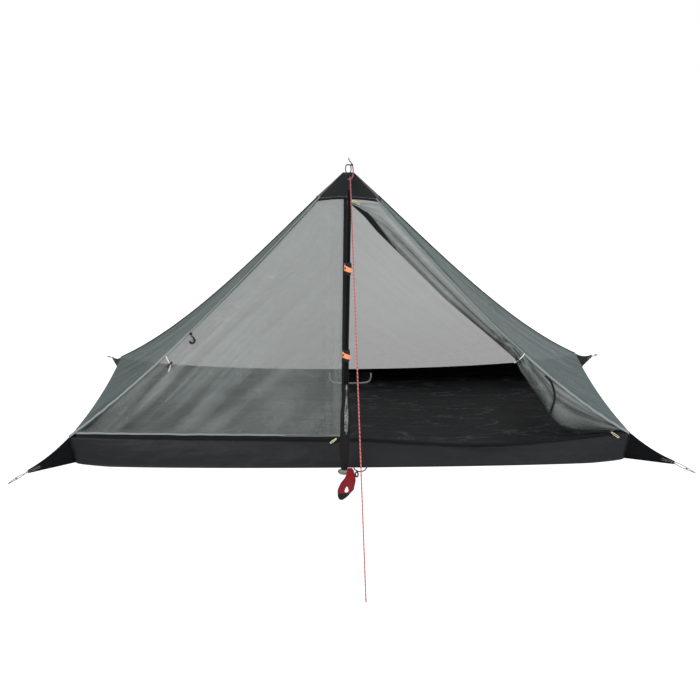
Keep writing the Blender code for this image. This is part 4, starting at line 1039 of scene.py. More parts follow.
def make_moulded(name, colour, roughness, grain=0.00015, scale=500.0, amount=0.08, gloss=0.5):
    """Moulded plastic, rubber or foam: fine grain and slightly uneven gloss."""
    tree, shader, place, _ = new_material(name, colour, roughness, Specular_IOR_Level=gloss)
    grains = mottle(tree, place, scale, amount, 2.0)
    worn = mottle(tree, place, 22.0, amount)
    tone = times(tree, grains["Tone"], worn["Tone"])
    shades(tree, shader, colour, tone)
    rougher(tree, shader, worn["Mask"], 0.25, roughness - 0.12)
    bump(tree, shader, grains["Mask"], grain)


def make_metal(name, colour, roughness):
    """Anodised or plain metal, drawn lengthways, with faint handling marks."""
    tree, shader, place, _ = new_material(name, colour, roughness, 1.0)
    drawn = crinkles(tree, place, 260.0, 1.0)
    marks = mottle(tree, place, 30.0, 0.1)
    rougher(tree, shader, marks["Mask"], 0.22, roughness - 0.1)
    shades(tree, shader, colour, marks["Tone"])
    bump(tree, shader, drawn["Height"], 0.00005)


def build_materials():
    for build in (build_net_group, build_mottle_group, build_crinkle_group, build_ripstop_group,
                  build_weave_group, build_braid_group):
        build()
    tints = bpy.context.scene.tent_colours
    yarn = tints.netting
    # The side panels take a darker copy of the yarn: painted shade
    shaded = (yarn[0] * 0.39, yarn[1] * 0.45, yarn[2] * 0.455)
    make_netting("door_netting", yarn, 0.5, 0.35, 0.22, 0.15)
    make_netting("side_netting", shaded, 0.9, 0.4, 0.0, 0.35)
    make_netting("pocket_netting", (0.03, 0.034, 0.034), 0.55)
    # The rear panel takes a lighter copy of the yarn: painted light
    make_netting("rear_netting", tuple(value * 1.12 for value in yarn), 0.73, slack_shade=1.0)
    make_netting("gathered_netting", yarn, 0.74, 0.33, 0.08, 0.2)
    make_nylon("black_nylon", tints.nylon, 0.15)
    make_nylon("corner_nylon", tuple(value * 0.55 for value in tints.nylon), 0.02)
    make_woven("light_binding", tints.binding, 0.75)
    make_woven("seam_shade", (0.02, 0.022, 0.022), 0.85)
    make_woven("black_webbing", (0.007, 0.007, 0.008), 0.8, 0.0022)
    make_woven("zip_tape", (0.0065, 0.0075, 0.0075), 0.85)
    make_woven("red_webbing", (0.235, 0.003, 0.009), 0.8, 0.0024)
    make_woven("light_thread", (0.46, 0.5, 0.5), 0.7, 0.0008)
    make_woven("dark_thread", (0.05, 0.055, 0.06), 0.7, 0.0008)
    # The guy line is painted darker above 0.8 m: painted shade
    make_cord("red_cord", tints.guy, (0.15, 0.02, 0.045), shade_from=0.8)
    make_cord("white_elastic", (0.95, 0.95, 0.93), (0.8, 0.79, 0.74), 0.004, 0.01)
    make_cord("corner_elastic", (0.25, 0.235, 0.21), (0.06, 0.05, 0.035), 0.004, 0.012)
    make_cord("olive_elastic", (0.42, 0.38, 0.13), (0.3, 0.26, 0.1), 0.004, 0.008)
    make_cord("yellow_cord", (0.78, 0.66, 0.28), (0.52, 0.36, 0.12), 0.004, 0.007)
    # The two sill pulls' cords, gold and lime, are lighter copies of the yellow cord: painted light
    make_cord("gold_cord", (0.8, 0.76, 0.62), (0.7, 0.5, 0.16), 0.004, 0.008)
    make_cord("lime_cord", (0.97, 1.0, 0.42), (0.98, 0.98, 0.95), 0.004, 0.009)
    make_cord("grey_elastic", (0.06, 0.006, 0.014), (0.03, 0.03, 0.034), 0.004, 0.012)
    make_moulded("black_plastic", (0.007, 0.007, 0.0075), 0.45, gloss=0.22)
    make_moulded("coil_nylon", (0.01, 0.01, 0.011), 0.35, gloss=0.3)
    make_moulded("black_foam", (0.0125, 0.013, 0.0125), 0.9, 0.0005, 900.0, 0.2, 0.12)
    make_moulded("grip_grey", (0.16, 0.175, 0.175), 0.6, 0.0006, 110.0, 1.9, 0.2)
    make_moulded("pommel_grey", (0.24, 0.22, 0.19), 0.55)
    make_moulded("orange_plastic", tints.lever, 0.4)
    make_metal("black_aluminium", (0.0075, 0.0085, 0.0085), 0.42)
    make_metal("steel", (0.55, 0.55, 0.56), 0.32)
    make_metal("slider_metal", (0.06, 0.06, 0.065), 0.4)


# A row of small like shapes along a line


def build_bead_tree():
    """Geometry nodes: beads of one size along a line, for stitches and zip coils."""
    tree = bpy.data.node_groups.new("bead_row", "GeometryNodeTree")
    face = tree.interface
    face.new_socket("Geometry", in_out="INPUT", socket_type="NodeSocketGeometry")
    for label, kind in (("Pitch", "NodeSocketFloat"), ("Half Size", "NodeSocketVector"),
                        ("Across", "NodeSocketVector"), ("Finish", "NodeSocketMaterial")):
        face.new_socket(label, in_out="INPUT", socket_type=kind)
    face.new_socket("Geometry", in_out="OUTPUT", socket_type="NodeSocketGeometry")
    source = tree.nodes.new("NodeGroupInput").outputs
    line = put(tree, "GeometryNodeMeshToCurve", {0: source["Geometry"]})
    even = put(tree, "GeometryNodeResampleCurve", {"Curve": line, "Length": source["Pitch"]},
               mode="LENGTH")
    along = put(tree, "GeometryNodeInputTangent")
    turn = put(tree, "FunctionNodeAlignRotationToVector", {"Vector": along}, axis="Z")
    level = put(tree, "FunctionNodeAlignRotationToVector", {
        "Rotation": turn, "Vector": source["Across"]}, axis="X", pivot_axis="Z")
    bead = put(tree, "GeometryNodeMeshUVSphere", {"Segments": 6, "Rings": 4, "Radius": 1.0})
    placed = put(tree, "GeometryNodeInstanceOnPoints", {
        "Points": even, "Instance": bead, "Rotation": level, "Scale": source["Half Size"]})
    real = put(tree, "GeometryNodeRealizeInstances", {0: placed})
    painted = put(tree, "GeometryNodeSetMaterial", {
        "Geometry": real, "Material": source["Finish"]})
    smooth = put(tree, "GeometryNodeSetShadeSmooth", {"Geometry": painted})
    sink = tree.nodes.new("NodeGroupOutput").inputs
    fill(tree, sink["Geometry"], smooth)


def bead_rows(name, routes, pitch, half_size, across, finish, body):
    """One piece of beads along one or more routes."""
    points, edges = [], []
    for route in routes:
        first = len(points)
        points += [tuple(spot) for spot in route]
        edges += [(first + i, first + i + 1) for i in range(len(route) - 1)]
    mesh = bpy.data.meshes.new(name)
    mesh.from_pydata(points, edges, [])
    obj = linked(name, mesh)
    modifier = obj.modifiers.new("Beads", "NODES")
    modifier.node_group = bpy.data.node_groups["bead_row"]
    values = {"Pitch": pitch, "Half Size": half_size, "Across": across, "Finish": FINISHES[finish]}
    for item in modifier.node_group.interface.items_tree:
        if item.in_out == "INPUT" and item.name in values:
            modifier[item.identifier] = values[item.name]
    settle(obj)
    dress(obj, finish, body, slot=None)


def stitches(name, routes, body="tent", finish="dark_thread", across=(0.0, 0.0, 1.0)):
    """Rows of lockstitch."""
    size = cloth()
    half = (size.thread, size.thread, size.stitch / 2)
    bead_rows(name, routes, size.stitch_pitch, half, across, finish, body)


# Stage

CAMERA_PLACE = (-0.018, -5.239, 1.771)
CAMERA_YAW = radians(0.25)
CAMERA_ROLL = radians(-0.36)
STUDIO_FLOOR = 60.0
FLOOR_GLOW = 1.37
FLOOR_SHOWN = 0.66

# Each lamp's name, place, aim, size and share of the key light's power
LAMPS = (
    ("key", (-2.6, -3.4, 4.2), (0, 0, 0.4), 3.0, 1.0),
    ("fill", (3.4, -3.0, 2.6), (0, 0, 0.4), 3.5, 0.55),
    ("top", (0.3, 1.2, 4.6), (0, 0, 0.2), 3.5, 0.8),
)


def place_camera(scene):
    setup = scene.tent_stage
    pitch, yaw, roll = setup.pitch, CAMERA_YAW, CAMERA_ROLL
    ahead = vec(sin(yaw) * cos(pitch), cos(yaw) * cos(pitch), -sin(pitch))
    right = vec(cos(yaw), -sin(yaw), 0)
    up = right.cross(ahead)
    turned_right = right * cos(roll) + up * sin(roll)
    turned_up = up * cos(roll) - right * sin(roll)
    lens = bpy.data.cameras.new("photo_camera")
    lens.lens = setup.lens
    lens.sensor_width = 36.0
    camera = linked("photo_camera", lens)
    turn = Matrix((turned_right, turned_up, -ahead)).transposed().to_4x4()
    camera.matrix_world = Matrix.Translation(Vector(CAMERA_PLACE)) @ turn
    scene.camera = camera


def lay_floor():
    half = STUDIO_FLOOR / 2
    points = [vec(x * half, y * half, -0.0005) for x, y in ((-1, -1), (1, -1), (1, 1), (-1, 1))]
    floor = mesh_object("studio_floor", points, [(0, 1, 2, 3)])
    made = bpy.data.materials.new("studio_white")
    tree = bare_tree(made)
    white = put(tree, "ShaderNodeEmission", {"Color": (1, 1, 1, 1), "Strength": FLOOR_GLOW})
    matt = put(tree, "ShaderNodeBsdfDiffuse", {"Color": (0.82, 0.82, 0.82, 1)})
    mix_by_sight(tree, FLOOR_SHOWN, matt, white, "ShaderNodeOutputMaterial")
    floor.data.materials.append(made)
    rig.stage(floor)


def bare_tree(owner):
    owner.use_nodes = True
    owner.node_tree.nodes.clear()
    return owner.node_tree


def mix_by_sight(tree, share, lit, seen, output):
    """Shows a share of one shader to the camera, and lights the tent by the other."""
    ray = put(tree, "ShaderNodeLightPath").outputs
    through = maths(tree, "MAXIMUM", ray["Is Glossy Ray"], ray["Is Transmission Ray"])
    sight = maths(tree, "MAXIMUM", ray["Is Camera Ray"], through)
    mixed = put(tree, "ShaderNodeMixShader", {0: times(tree, sight, share), 1: lit, 2: seen})
    out = put(tree, output)
    fill(tree, out.inputs["Surface"], mixed)


def hang_lamps(scene):
    setup = scene.tent_stage
    for name, place, aim, size, share in LAMPS:
        lamp = bpy.data.lights.new(f"{name}_lamp", "AREA")
        lamp.shape = "DISK"
        lamp.size = size
        lamp.energy = setup.key * share
        obj = linked(f"{name}_lamp", lamp)
        spot = Vector(place)
        obj.matrix_world = frame_along(spot, spot - Vector(aim), vec(1, 0, 0.1))
    world = bpy.data.worlds.new("studio_air")
    tree = bare_tree(world)
    white = put(tree, "ShaderNodeBackground", {0: (1, 1, 1, 1), 1: 1.0})
    air = put(tree, "ShaderNodeBackground", {0: (1, 1, 1, 1), 1: setup.ambient})
    mix_by_sight(tree, 1.0, air, white, "ShaderNodeOutputWorld")
    scene.world = world


def set_stage():
    scene = bpy.context.scene
    scene.view_settings.view_transform = "Standard"
    scene.cycles.transparent_max_bounces = 32
    place_camera(scene)
    lay_floor()
    hang_lamps(scene)


class TENT_OT_stage(bpy.types.Operator):
    """Camera at the photo's angle, pale floor and backdrop, and soft lamps"""

    bl_idname = "tent.stage"
    bl_label = "Stage"

    def execute(self, context):
        set_stage()
        return {"FINISHED"}


# Cords


def corner_loop_route(signs, end, tip):
    """The elastic loop's line from a strap's end to its tip and back."""
    corner = vec(signs[0] * HALF_WIDTH, signs[1] * HALF_DEPTH, 0)
    out = vec(end[0], end[1], 0).normalized()
    middle = corner + Vector(end) + vec(0, 0, STRAP_HEIGHT / 2)
    start = middle + out * 0.0011
    point = corner + Vector(tip)
    along = (point - start).normalized()
    side = vec(-along.y, along.x, 0).normalized() * LOOP_MOUTH
    rise = vec(0, 0, LOOP_RISE)
    through = [start + rise, start.lerp(point, 0.35) + side + rise * 0.4,
               start.lerp(point, 0.8) + side * 0.45, point, start.lerp(point, 0.8) - side * 0.45,
               start.lerp(point, 0.35) - side - rise * 0.4, start - rise]
    floor = ELASTIC_RADIUS + 0.0003
    return [vec(p.x, p.y, max(p.z, floor)) for p in smooth_route(through, 60)]


def declare_cord(
        obj, points, radius, far_end="object", stiffness="limp", lay="loose", with_pieces=()):
    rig.cord(obj, exit=points[0], length=route_length(points), diameter=2 * radius, far_end=far_end,
            stiffness=stiffness, lay=lay, path=points, with_pieces=with_pieces)


def knot_object(name, centre, along, size):
    """A small overhand knot as a lumpy closed cord."""
    place = frame_along(centre, along, vec(0.3, 0.2, 1.0))
    points = []
    for k in range(36):
        turn = 2 * pi * k / 36
        reach = size * (1.0 + 0.45 * cos(3 * turn))
        points.append(round_spot(place, reach, 2 * turn, size * 0.9 * sin(3 * turn)))
    return tube_object(name, points, size * 0.55, closed=True)


def guy_line():
    tail = smooth_route([*TAIL_ROUTE, GUY_START], 60)
    points = tail[:-1]
    for u in even(240):
        points.append(GUY_START.lerp(GUY_END, u) - vec(0, 0, GUY_SAG * bow(u)))
    line = tube_object("guy_line_cord", points, GUY_RADIUS, 10)
    dress(line, "red_cord", "tent", "guy_line")
    end = tube_object(
        "guy_line_end", [GUY_END + (GUY_END - GUY_START).normalized() * s
                         for s in (-0.004, -0.002, 0.0)], [GUY_RADIUS * 1.15] * 3, 10)
    dress(end, "grip_grey", "tent", slot=None)
    knot = knot_object("guy_line_knot", vec(0.0135, -0.647, 1.224), vec(0.3, 0, 1), 0.003)
    dress(knot, "grey_elastic", "tent", slot=None)
    declare_cord(line, points, GUY_RADIUS, "bare", "medium", "taut", [end, knot])


def corner_elastics():
    for name, (signs, end, tip) in TIE_OUTS.items():
        points = corner_loop_route(signs, end, tip)
        loop = tube_object(f"{name}_elastic", points, ELASTIC_RADIUS)
        dress(loop, "corner_elastic", f"{name}_loop", f"{name}_loop")
        near = (points[17] + points[42]) / 2
        knot = knot_object(
            f"{name}_elastic_knot", near + vec(0, 0, 0.0012), points[25] - points[15], 0.0026)
        dress(knot, "olive_elastic", f"{name}_loop", slot=None)
        declare_cord(loop, points, ELASTIC_RADIUS, with_pieces=[knot])


def foot_loop():
    points = smooth_route(FOOT_LOOP_ROUTE, 48)
    loop = tube_object("foot_elastic", points, FOOT_LOOP_RADIUS)
    dress(loop, "grey_elastic", "tent", "foot_loop")
    declare_cord(loop, points, FOOT_LOOP_RADIUS)


class TENT_OT_cords(bpy.types.Operator):
    """Guy line, corner elastics and the thin loop at the foot"""

    bl_idname = "tent.cords"
    bl_label = "Cords"

    def execute(self, context):
        guy_line()
        corner_elastics()
        foot_loop()
        return {"FINISHED"}


# Tub


def tub_outline(side, share, rise):
    """A point on a wall, rise 0 at the floor and 1 at the top, with its belly and creases."""
    foot, top = wall_foot(side, share), wall_top(side, share)
    spot = foot.lerp(top, rise)
    away = {"front": (0, -1, 0), "rear": (0, 1, 0), "right": (1, 0, 0), "left": (-1, 0, 0)}
    reach = 2 * (HALF_WIDTH if side in ("front", "rear") else HALF_DEPTH) * share
    hold = sin(pi * rise)
    crease = 0.003 * ripple(reach * 9, rise * 2.5, 3.0 + len(side)) * hold
    drag = 0.0022 * ripple(reach * 3 + rise * 1.2, rise * 9, 11.0 + len(side)) * hold
    return spot + Vector(away[side]) * (WALL_BELLY * hold * bow(share, 0.5) + crease + drag)


TUB_ACROSS = 150
TUB_DEEP = 84
TUB_LEVELS = 10


def floor_and_walls():
    points, uvs, faces, index = [], [], [], {}

    def vertex(key, spot, uv):
        if key not in index:
            index[key] = len(points)
            points.append(spot)
            uvs.append(uv)
        return index[key]

    for i in range(TUB_ACROSS + 1):
        for j in range(TUB_DEEP + 1):
            spot = floor_point(i / TUB_ACROSS, j / TUB_DEEP)
            vertex(("floor", i, j), spot, (spot.x, spot.y))
    for i in range(TUB_ACROSS):
        for j in range(TUB_DEEP):
            faces.append([index["floor", a, b] for a, b in ((i, j), (i + 1, j), (i + 1, j + 1),
                                                            (i, j + 1))])
    for side in ("front", "right", "rear", "left"):
        add_wall(side, vertex, index, faces)
    tub = mesh_object("tub", points, faces, uvs)
    thicken(tub, cloth().cloth, -1.0)
    dress(tub, "black_nylon", "tent", "floor_tub")
    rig.sheet(tub, flat=(2.52, 1.46), held="laid", rests_on=["floor_tub"], area=3.5)


def floor_point(a, b):
    front, rear = wall_foot("front", a), wall_foot("rear", 1 - a)
    left, right = wall_foot("left", 1 - b), wall_foot("right", b)
    corners = (wall_foot("front", 0) * ((1 - a) * (1 - b)) + wall_foot("front", 1) *
               (a * (1 - b)) + wall_foot("rear", 0) * (a * b) + wall_foot("rear", 1) *
               ((1 - a) * b))
    spot = front * (1 - b) + rear * b + left * (1 - a) + right * a - corners
    hold = min(1.0, 14 * min(a, b, 1 - a, 1 - b))
    swell = 0.5 + 0.5 * ripple(spot.x * 3.2, spot.y * 7.0, 5.0)
    fold = max(0.0, ripple(spot.x * 2.0 + spot.y * 3.0, spot.y * 16.0, 8.0) - 0.35)
    spot.z = 0.0012 + hold * (0.0028 * swell + 0.005 * fold)
    return spot


def add_wall(side, vertex, index, faces):
    count = TUB_ACROSS if side in ("front", "rear") else TUB_DEEP
    edge = {"front": lambda k: ("floor", k, 0), "right": lambda k: ("floor", TUB_ACROSS, k),
            "rear": lambda k: ("floor", TUB_ACROSS - k, TUB_DEEP),
            "left": lambda k: ("floor", 0, TUB_DEEP - k)}[side]
    order = ("front", "right", "rear", "left")
    following = order[(order.index(side) + 1) % 4]

    def key(k, level):
        if level == 0:
            return edge(k)
        if k == count:
            return ("wall", following, 0, level)
        return ("wall", side, k, level)

    for k in range(count + 1):
        for level in range(1, TUB_LEVELS + 1):
            rise = level / TUB_LEVELS
            spot = tub_outline(side, k / count, rise)
            along = spot.x if side in ("front", "rear") else spot.y
            vertex(key(k, level), spot, (along, 2.0 + rise * WALL_HEIGHT))
    for k in range(count):
        for level in range(TUB_LEVELS):
            faces.append([index[key(a, b)] for a, b in ((k, level), (k + 1, level),
                                                        (k + 1, level + 1), (k, level + 1))])


class TENT_OT_tub(bpy.types.Operator):
    """The coated floor with its four low walls"""

    bl_idname = "tent.tub"
    bl_label = "Tub"

    def execute(self, context):
        floor_and_walls()
        return {"FINISHED"}


# Netting


def tension(u, t, width, seed):
    """Folds that run along the nearer ridge and fade towards the panel's middle."""
    from_edge = min(u, 1 - u) * width
    hand = 1 if u < 0.5 else -1
    fold = ripple(t * 1.9 + hand * 4.0, from_edge * 24.0 + t * 2.0, seed)
    fine = ripple(t * 3.5 + hand * 7.0, from_edge * 60.0 + t * 6.0, seed + 9.0)
    hold = min(1.0, from_edge / 0.03)
    fade = exp(-from_edge / 0.26) * (1 - t) ** 0.6 + 0.15
    return (fold + 0.35 * fine) * hold * fade


PANELS = (("left", (-1, 1), (-1, -1), 84, (0.7, 0, -0.7), "side_netting"),
          ("right", (1, -1), (1, 1), 84, (-0.7, 0, -0.7), "side_netting"),
          ("rear", (1, 1), (-1, 1), 150, (0, -0.7, -0.7), "rear_netting"))


def panel_rows(side, first, second, columns, inward):
    lines = 96
    seed = {"left": 2.0, "right": 21.0, "rear": 33.0}[side]
    shade = 0.45 if side == "left" else 0.0
    low, high = wall_top(side, 0.0), wall_top(side, 1.0)
    for t in even(lines + 1, 0.0, CONE_START + 0.028):
        left, right = ridge(*first, t), ridge(*second, t)
        width = (right - left).length
        row, crease = [], []
        for u in even(columns + 1):
            spot = left.lerp(right, u)
            spot += (wall_top(side, u) - low.lerp(high, u)) * (1 - t) ** 3
            fold = tension(u, t, width, seed)
            depth = PANEL_SAG * bow(u) * bow(t) + cloth().wrinkle * 0.7 * fold * min(1, 12 * t)
            row.append(spot + inward * depth)
            # Each fold's depth, less the left panel's painted shade, goes to the netting as painted light and shade
            crease.append(fold - shade)
        yield row, crease


def netting_panels():
    for side, first, second, columns, inward, finish in PANELS:
        rows, fold_shades = zip(*panel_rows(side, first, second, columns, Vector(inward)))
        node = f"{side}_side_panel" if side != "rear" else "rear_panel"
        panel = grid_object(f"{side}_netting", rows, vec(0, -0.1, 0.3), fold_shade_rows=fold_shades)
        dress(panel, finish, "tent", node)
        wide = (rows[0][-1] - rows[0][0]).length
        tall = (rows[-1][0].lerp(rows[-1][-1], 0.5) - rows[0][len(rows[0]) // 2]).length
        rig.sheet(panel, flat=(wide, tall), held="stretched", rests_on=["floor_tub"],
                 area=wide * tall * PANEL_FILL)


class TENT_OT_panels(bpy.types.Operator):
    """The three fixed panels of netting"""

    bl_idname = "tent.panels"
    bl_label = "Netting Panels"

    def execute(self, context):
        netting_panels()
        return {"FINISHED"}


# Doors


DOOR_COLUMNS = 130
DOOR_LINES = 110


def left_door_rows():
    hem = WALL_TAPE + HEM_TAPE
    foot = straight_sill(DOOR_TAPE_WIDTH) + hem
    head = ridge(-1, -1, CONE_START).z + 0.004
    left_foot = ridge_share_at(-1, straight_sill(-HALF_WIDTH) + hem)
    for rise in even(DOOR_LINES + 1):
        left = ridge(-1, -1, left_foot + (CONE_START - left_foot) * rise)
        z = foot + (head - foot) * rise
        right = vec(zip_left(z), front_plane(z), z)
        width = (right - left).length
        row, crease = [], []
        for u in even(DOOR_COLUMNS + 1):
            spot = left.lerp(right, u)
            fold = door_fold(u, rise, width, spot)
            hold = min(1.0, 10 * rise, 20 * u, 20 * (1 - u)) * min(1.0, 8 * (1 - rise))
            depth = 0.006 * bow(u) * bow(rise) + cloth().wrinkle * fold
            spot.y += max(depth, 0.3 * depth) * hold
            if rise == 0:
                spot.z += hem_wave(spot.x)
            row.append(spot)
            # The fold also goes to the netting as painted light and shade
            crease.append(fold * min(1.0, 3 * hold))
        yield row, crease


def door_fold(u, rise, width, spot):
    """Long folds that fan out of the lower left corner, and upright ones by the pole."""
    from_left = u * width
    fan = spot.z - WALL_HEIGHT - 1.02 * (spot.x + HALF_WIDTH)
    along = (spot.x + HALF_WIDTH) + spot.z
    corner = exp(-from_left / 0.36) * (1 - rise) ** 0.9
    bands = ripple(along * 1.3, fan * 15.0, 41.0)
    long_folds = max(-1.1, min(0.8, 1.9 * bands)) * corner * 1.15
    short_folds = ripple(along * 3.4, fan * 46.0, 47.0) * corner * 0.45
    from_pole = (1 - u) * width
    upright = ripple(from_pole * 42.0, spot.z * 1.4, 53.0) * exp(-from_pole / 0.07)
    broad = ripple(spot.x * 5.0, spot.z * 3.0, 59.0) * 0.22
    cross = ripple(spot.x * 6.0, spot.z * 30.0, 61.0) * 0.1
    return long_folds + short_folds + upright * 0.6 + broad + cross


def door_bindings(rows):
    """The light hem along the foot and the pale seam up the side of the zip."""
    bottom = shifted(rows[0], 0, -0.0008, -0.002)
    hem = ribbon("left_door_hem", bottom, (0, 0, 1), 0.0075, 0.0008, 3, -0.0008)
    dress(hem, "light_binding", "left_door")
    side = [row[-1] + vec(-0.003, -0.001, 0) for row in rows[DOOR_LINES // 3:]]
    seam = ribbon("left_door_seam", side, (1, 0, 0), 0.0042, 0.0007, 3, 0.0008)
    dress(seam, "light_binding", "left_door")


def left_door_panel():
    rows, fold_shades = zip(*left_door_rows())
    door = grid_object("left_door_netting", rows, fold_shade_rows=fold_shades)
    dress(door, "door_netting", "left_door", "left_door")
    wide = (rows[0][-1] - rows[0][0]).length
    tall = (rows[-1][-1] - rows[0][-1]).length
    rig.sheet(door, flat=(wide, tall), held="stretched", rests_on=["floor_tub"],
             area=wide * tall * PANEL_FILL)
    door_bindings(rows)


class TENT_OT_left_door(bpy.types.Operator):
    """The closed left door, with its light hem and the pale seam beside the zip"""

    bl_idname = "tent.left_door"
    bl_label = "Left Door"

    def execute(self, context):
        left_door_panel()
        return {"FINISHED"}


GATHER_STATIONS = 220
GATHER_COLUMNS = 96
PLEATS = 4.5
PLEAT_LAYER = 0.0021


def drawn_top(x):
    t = 1 - x / HALF_WIDTH
    seam = ridge(1, -1, min(t, CONE_START))
    return min(seam.z, ridge(1, -1, CONE_START).z) - 0.002


def right_door_rows():
    flat = 0.3
    for share in even(GATHER_STATIONS + 1):
        x = GATHER_START + (GATHER_STOP - GATHER_START) * share
        top = drawn_top(x)
        low = min(curve_height(x, DOOR_EDGE), top - 0.004)
        drop = top - low
        tie = exp(-((x - TIE_X) / 0.075) ** 2)
        flare = limited((x - TIE_X - 0.03) / 0.12)
        bundle = 0.5 + 0.45 * tie + 0.12 * flare
        bundle *= min(1.0, 0.35 + x / 0.25)
        thin = 0.1 + 0.9 * limited((x - 0.13) / 0.2)
        stack = PLEAT_LAYER * (1 + 0.1 * flare) * min(1.0, drop / 0.05) * (1 + 0.4 * tie)
        row, crease = [], []
        for j in range(GATHER_COLUMNS + 1):
            v = j / GATHER_COLUMNS
            if v < flat:
                across = (1 - bundle) * v / flat
                forward, shaded = 0.0, 0.0
            else:
                w = (v - flat) / (1 - flat)
                wander = 0.1 * ripple(share * 7.0, w * 9.0, 71.0)
                swing = 0.5 - 0.5 * cos(2 * pi * PLEATS * w)
                reach = 1 - 0.3 * (0.5 + 0.5 * ripple(share * 4.0, round(w * 5) * 3.1, 77.0))
                reach = reach + (1 - reach) * w
                across = (1 - bundle) + bundle * (swing * reach + wander * bow(w))
                forward = stack * 2 * PLEATS * w
                shaded = min(1.0, 6 * w)
            across = limited(across)
            soft = ripple(share * 9.0, v * 14.0, 83.0)
            z = top - drop * across
            y = front_plane(z) - forward * thin + (0.0016 * soft + 0.005) * min(1, 8 * v)
            row.append(vec(x, y, z))
            # Painted light and shade on the gathered door: darker where pleats stack, a light line and two dark lines
            # along the folds, darker low down and at its lowest edge
            long_fold = ripple(share * 2.0, across * 8.0, 87.0)
            edge = 1.6 if j > GATHER_COLUMNS - 4 else 0.0
            lower = limited((x - 0.34) / 0.26)
            drift = 0.05 * ripple(share * 5.0, 0.0, 79.0)
            lines = 1.3 * exp(-((across - 0.4 - drift) / 0.06) ** 2)
            lines -= 1.7 * exp(-((across - 0.29 - drift) / 0.022) ** 2)
            lines -= 1.3 * exp(-((across - 0.52 - drift) / 0.02) ** 2)
            lines += 0.65 - 1.45 * lower
            crease.append(0.5 * soft + 1.1 * long_fold - edge + lines * (1 - flare) * shaded -
                          (0.7 + 0.55 * flare) * shaded)
        yield row, crease


def right_door_panel():
    rows, fold_shades = zip(*right_door_rows())
    door = grid_object("right_door_netting", rows, vec(0.3, 0, 0.3), fold_shade_rows=fold_shades)
    dress(door, "gathered_netting", "tent", "right_door")
    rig.sheet(door, flat=(1.12, 1.06), held="gathered", rests_on=["front_right_ridge_binding"],
             area=0.62)


class TENT_OT_right_door(bpy.types.Operator):
    """The right door, drawn aside in folds and tied to its ridge"""

    bl_idname = "tent.right_door"
    bl_label = "Right Door"

    def execute(self, context):
        right_door_panel()
        return {"FINISHED"}


# Seams on the ridges


def outward_of(line, i, hand):
    """Away from a ridge in the plane of the front, square to the ridge."""
    last = len(line) - 1
    run = line[min(i + 1, last)] - line[max(i - 1, 0)]
    return vec(hand * run.z, 0, -hand * run.x).normalized()


RIDGE_STATIONS = 150
TAPE_SHARE = {-1: 1.0, 1: 1.15}
FLAP_FROM = 0.62


def front_seam(hand, name):
    shares = even(RIDGE_STATIONS, 0.003, CONE_START + 0.012)
    line = [ridge(hand, -1, t) for t in shares]
    away = [outward_of(line, i, hand) for i in range(len(line))]
    wave = [0.001 * ripple(t * 42, 0.0, 5.0 + hand) for t in shares]
    width = cloth().seam_width * TAPE_SHARE[hand]

    aside = 0.003 if hand < 0 else -0.0012
    tape_line = [spot + out * (shift + aside) + vec(0, -0.003, 0)
                 for spot, out, shift in zip(line, away, wave)]
    narrow = [out * (1.0 - 0.6 * limited((t - 0.38) / 0.15)) for out, t in zip(away, shares)]
    tape = ribbon(f"{name}_ridge_tape", tape_line, narrow, width, 0.0009, 4, 0.0009)
    dress(tape, "light_binding", "tent", f"{name}_ridge_binding")
    rows = []
    for spot, out, t, shift in zip(line, away, shares, wave):
        if t < FLAP_FROM:
            continue
        rise = (t - FLAP_FROM) / (CONE_START - FLAP_FROM)
        reach = 0.001 + 0.01 * bow(min(1.0, rise)) ** 0.6
        rows.append([spot + out * (reach * u + shift) + vec(0, 0.004 * u * u - 0.001, 0)
                     for u in even(5)])
    flap = thicken(grid_object(f"{name}_ridge_flap", rows), 0.0008)
    dress(flap, "side_netting", "tent")
    rows = [[spot + out * (side * width * 0.5) + vec(0, -0.001, 0)
             for spot, out in zip(tape_line, narrow)] for side in (-1, 1)]
    stitches(f"{name}_ridge_stitches", rows, across=(0, 1, 0))


def rear_seam(hand, name):
    shares = even(RIDGE_STATIONS, 0.003, CONE_START)
    line = [ridge(hand, 1, t) for t in shares]
    away = [outward_of(line, i, hand) for i in range(len(line))]
    tape = ribbon(f"{name}_ridge_tape", line, away, cloth().seam_width * 0.8, 0.0012, 4, 0.0008)
    dress(tape, "seam_shade", "tent", f"{name}_ridge_binding")
    above = shifted(line, 0, 0.0016, 0.0016)
    stitches(f"{name}_ridge_stitches", [above])


def ridge_seams():
    for hand, hand_name in ((-1, "left"), (1, "right")):
        front_seam(hand, f"front_{hand_name}")
        rear_seam(hand, f"rear_{hand_name}")


class TENT_OT_ridges(bpy.types.Operator):
    """The taped seams on the four ridges"""

    bl_idname = "tent.ridges"
    bl_label = "Ridge Seams"

    def execute(self, context):
        ridge_seams()
        return {"FINISHED"}


# Cone, hanging loop and pole tab


CONE_STEPS = 12
CONE_LEVELS = 14


def cone_ring(t, grow=0.0):
    corners = [ridge(*key, t) for key in ((-1, -1), (1, -1), (1, 1), (-1, 1))]
    centre = sum(corners, Vector()) / 4
    arch = CONE_ARCH * (CONE_TOP - t) / (CONE_TOP - CONE_START)
    ring = []
    for a, b in zip(corners, corners[1:] + corners[:1]):
        for u in even(CONE_STEPS + 1)[:-1]:
            spot = a.lerp(b, u) + vec(0, 0, arch * bow(u))
            away = vec(spot.x - centre.x, spot.y - centre.y, 0).normalized()
            soft = 0.0012 * ripple(spot.x * 30, spot.z * 24 + spot.y * 20, 91.0) * bow(u)
            ring.append(spot + away * (grow + 0.0016 + soft))
    return ring + ring[:1]


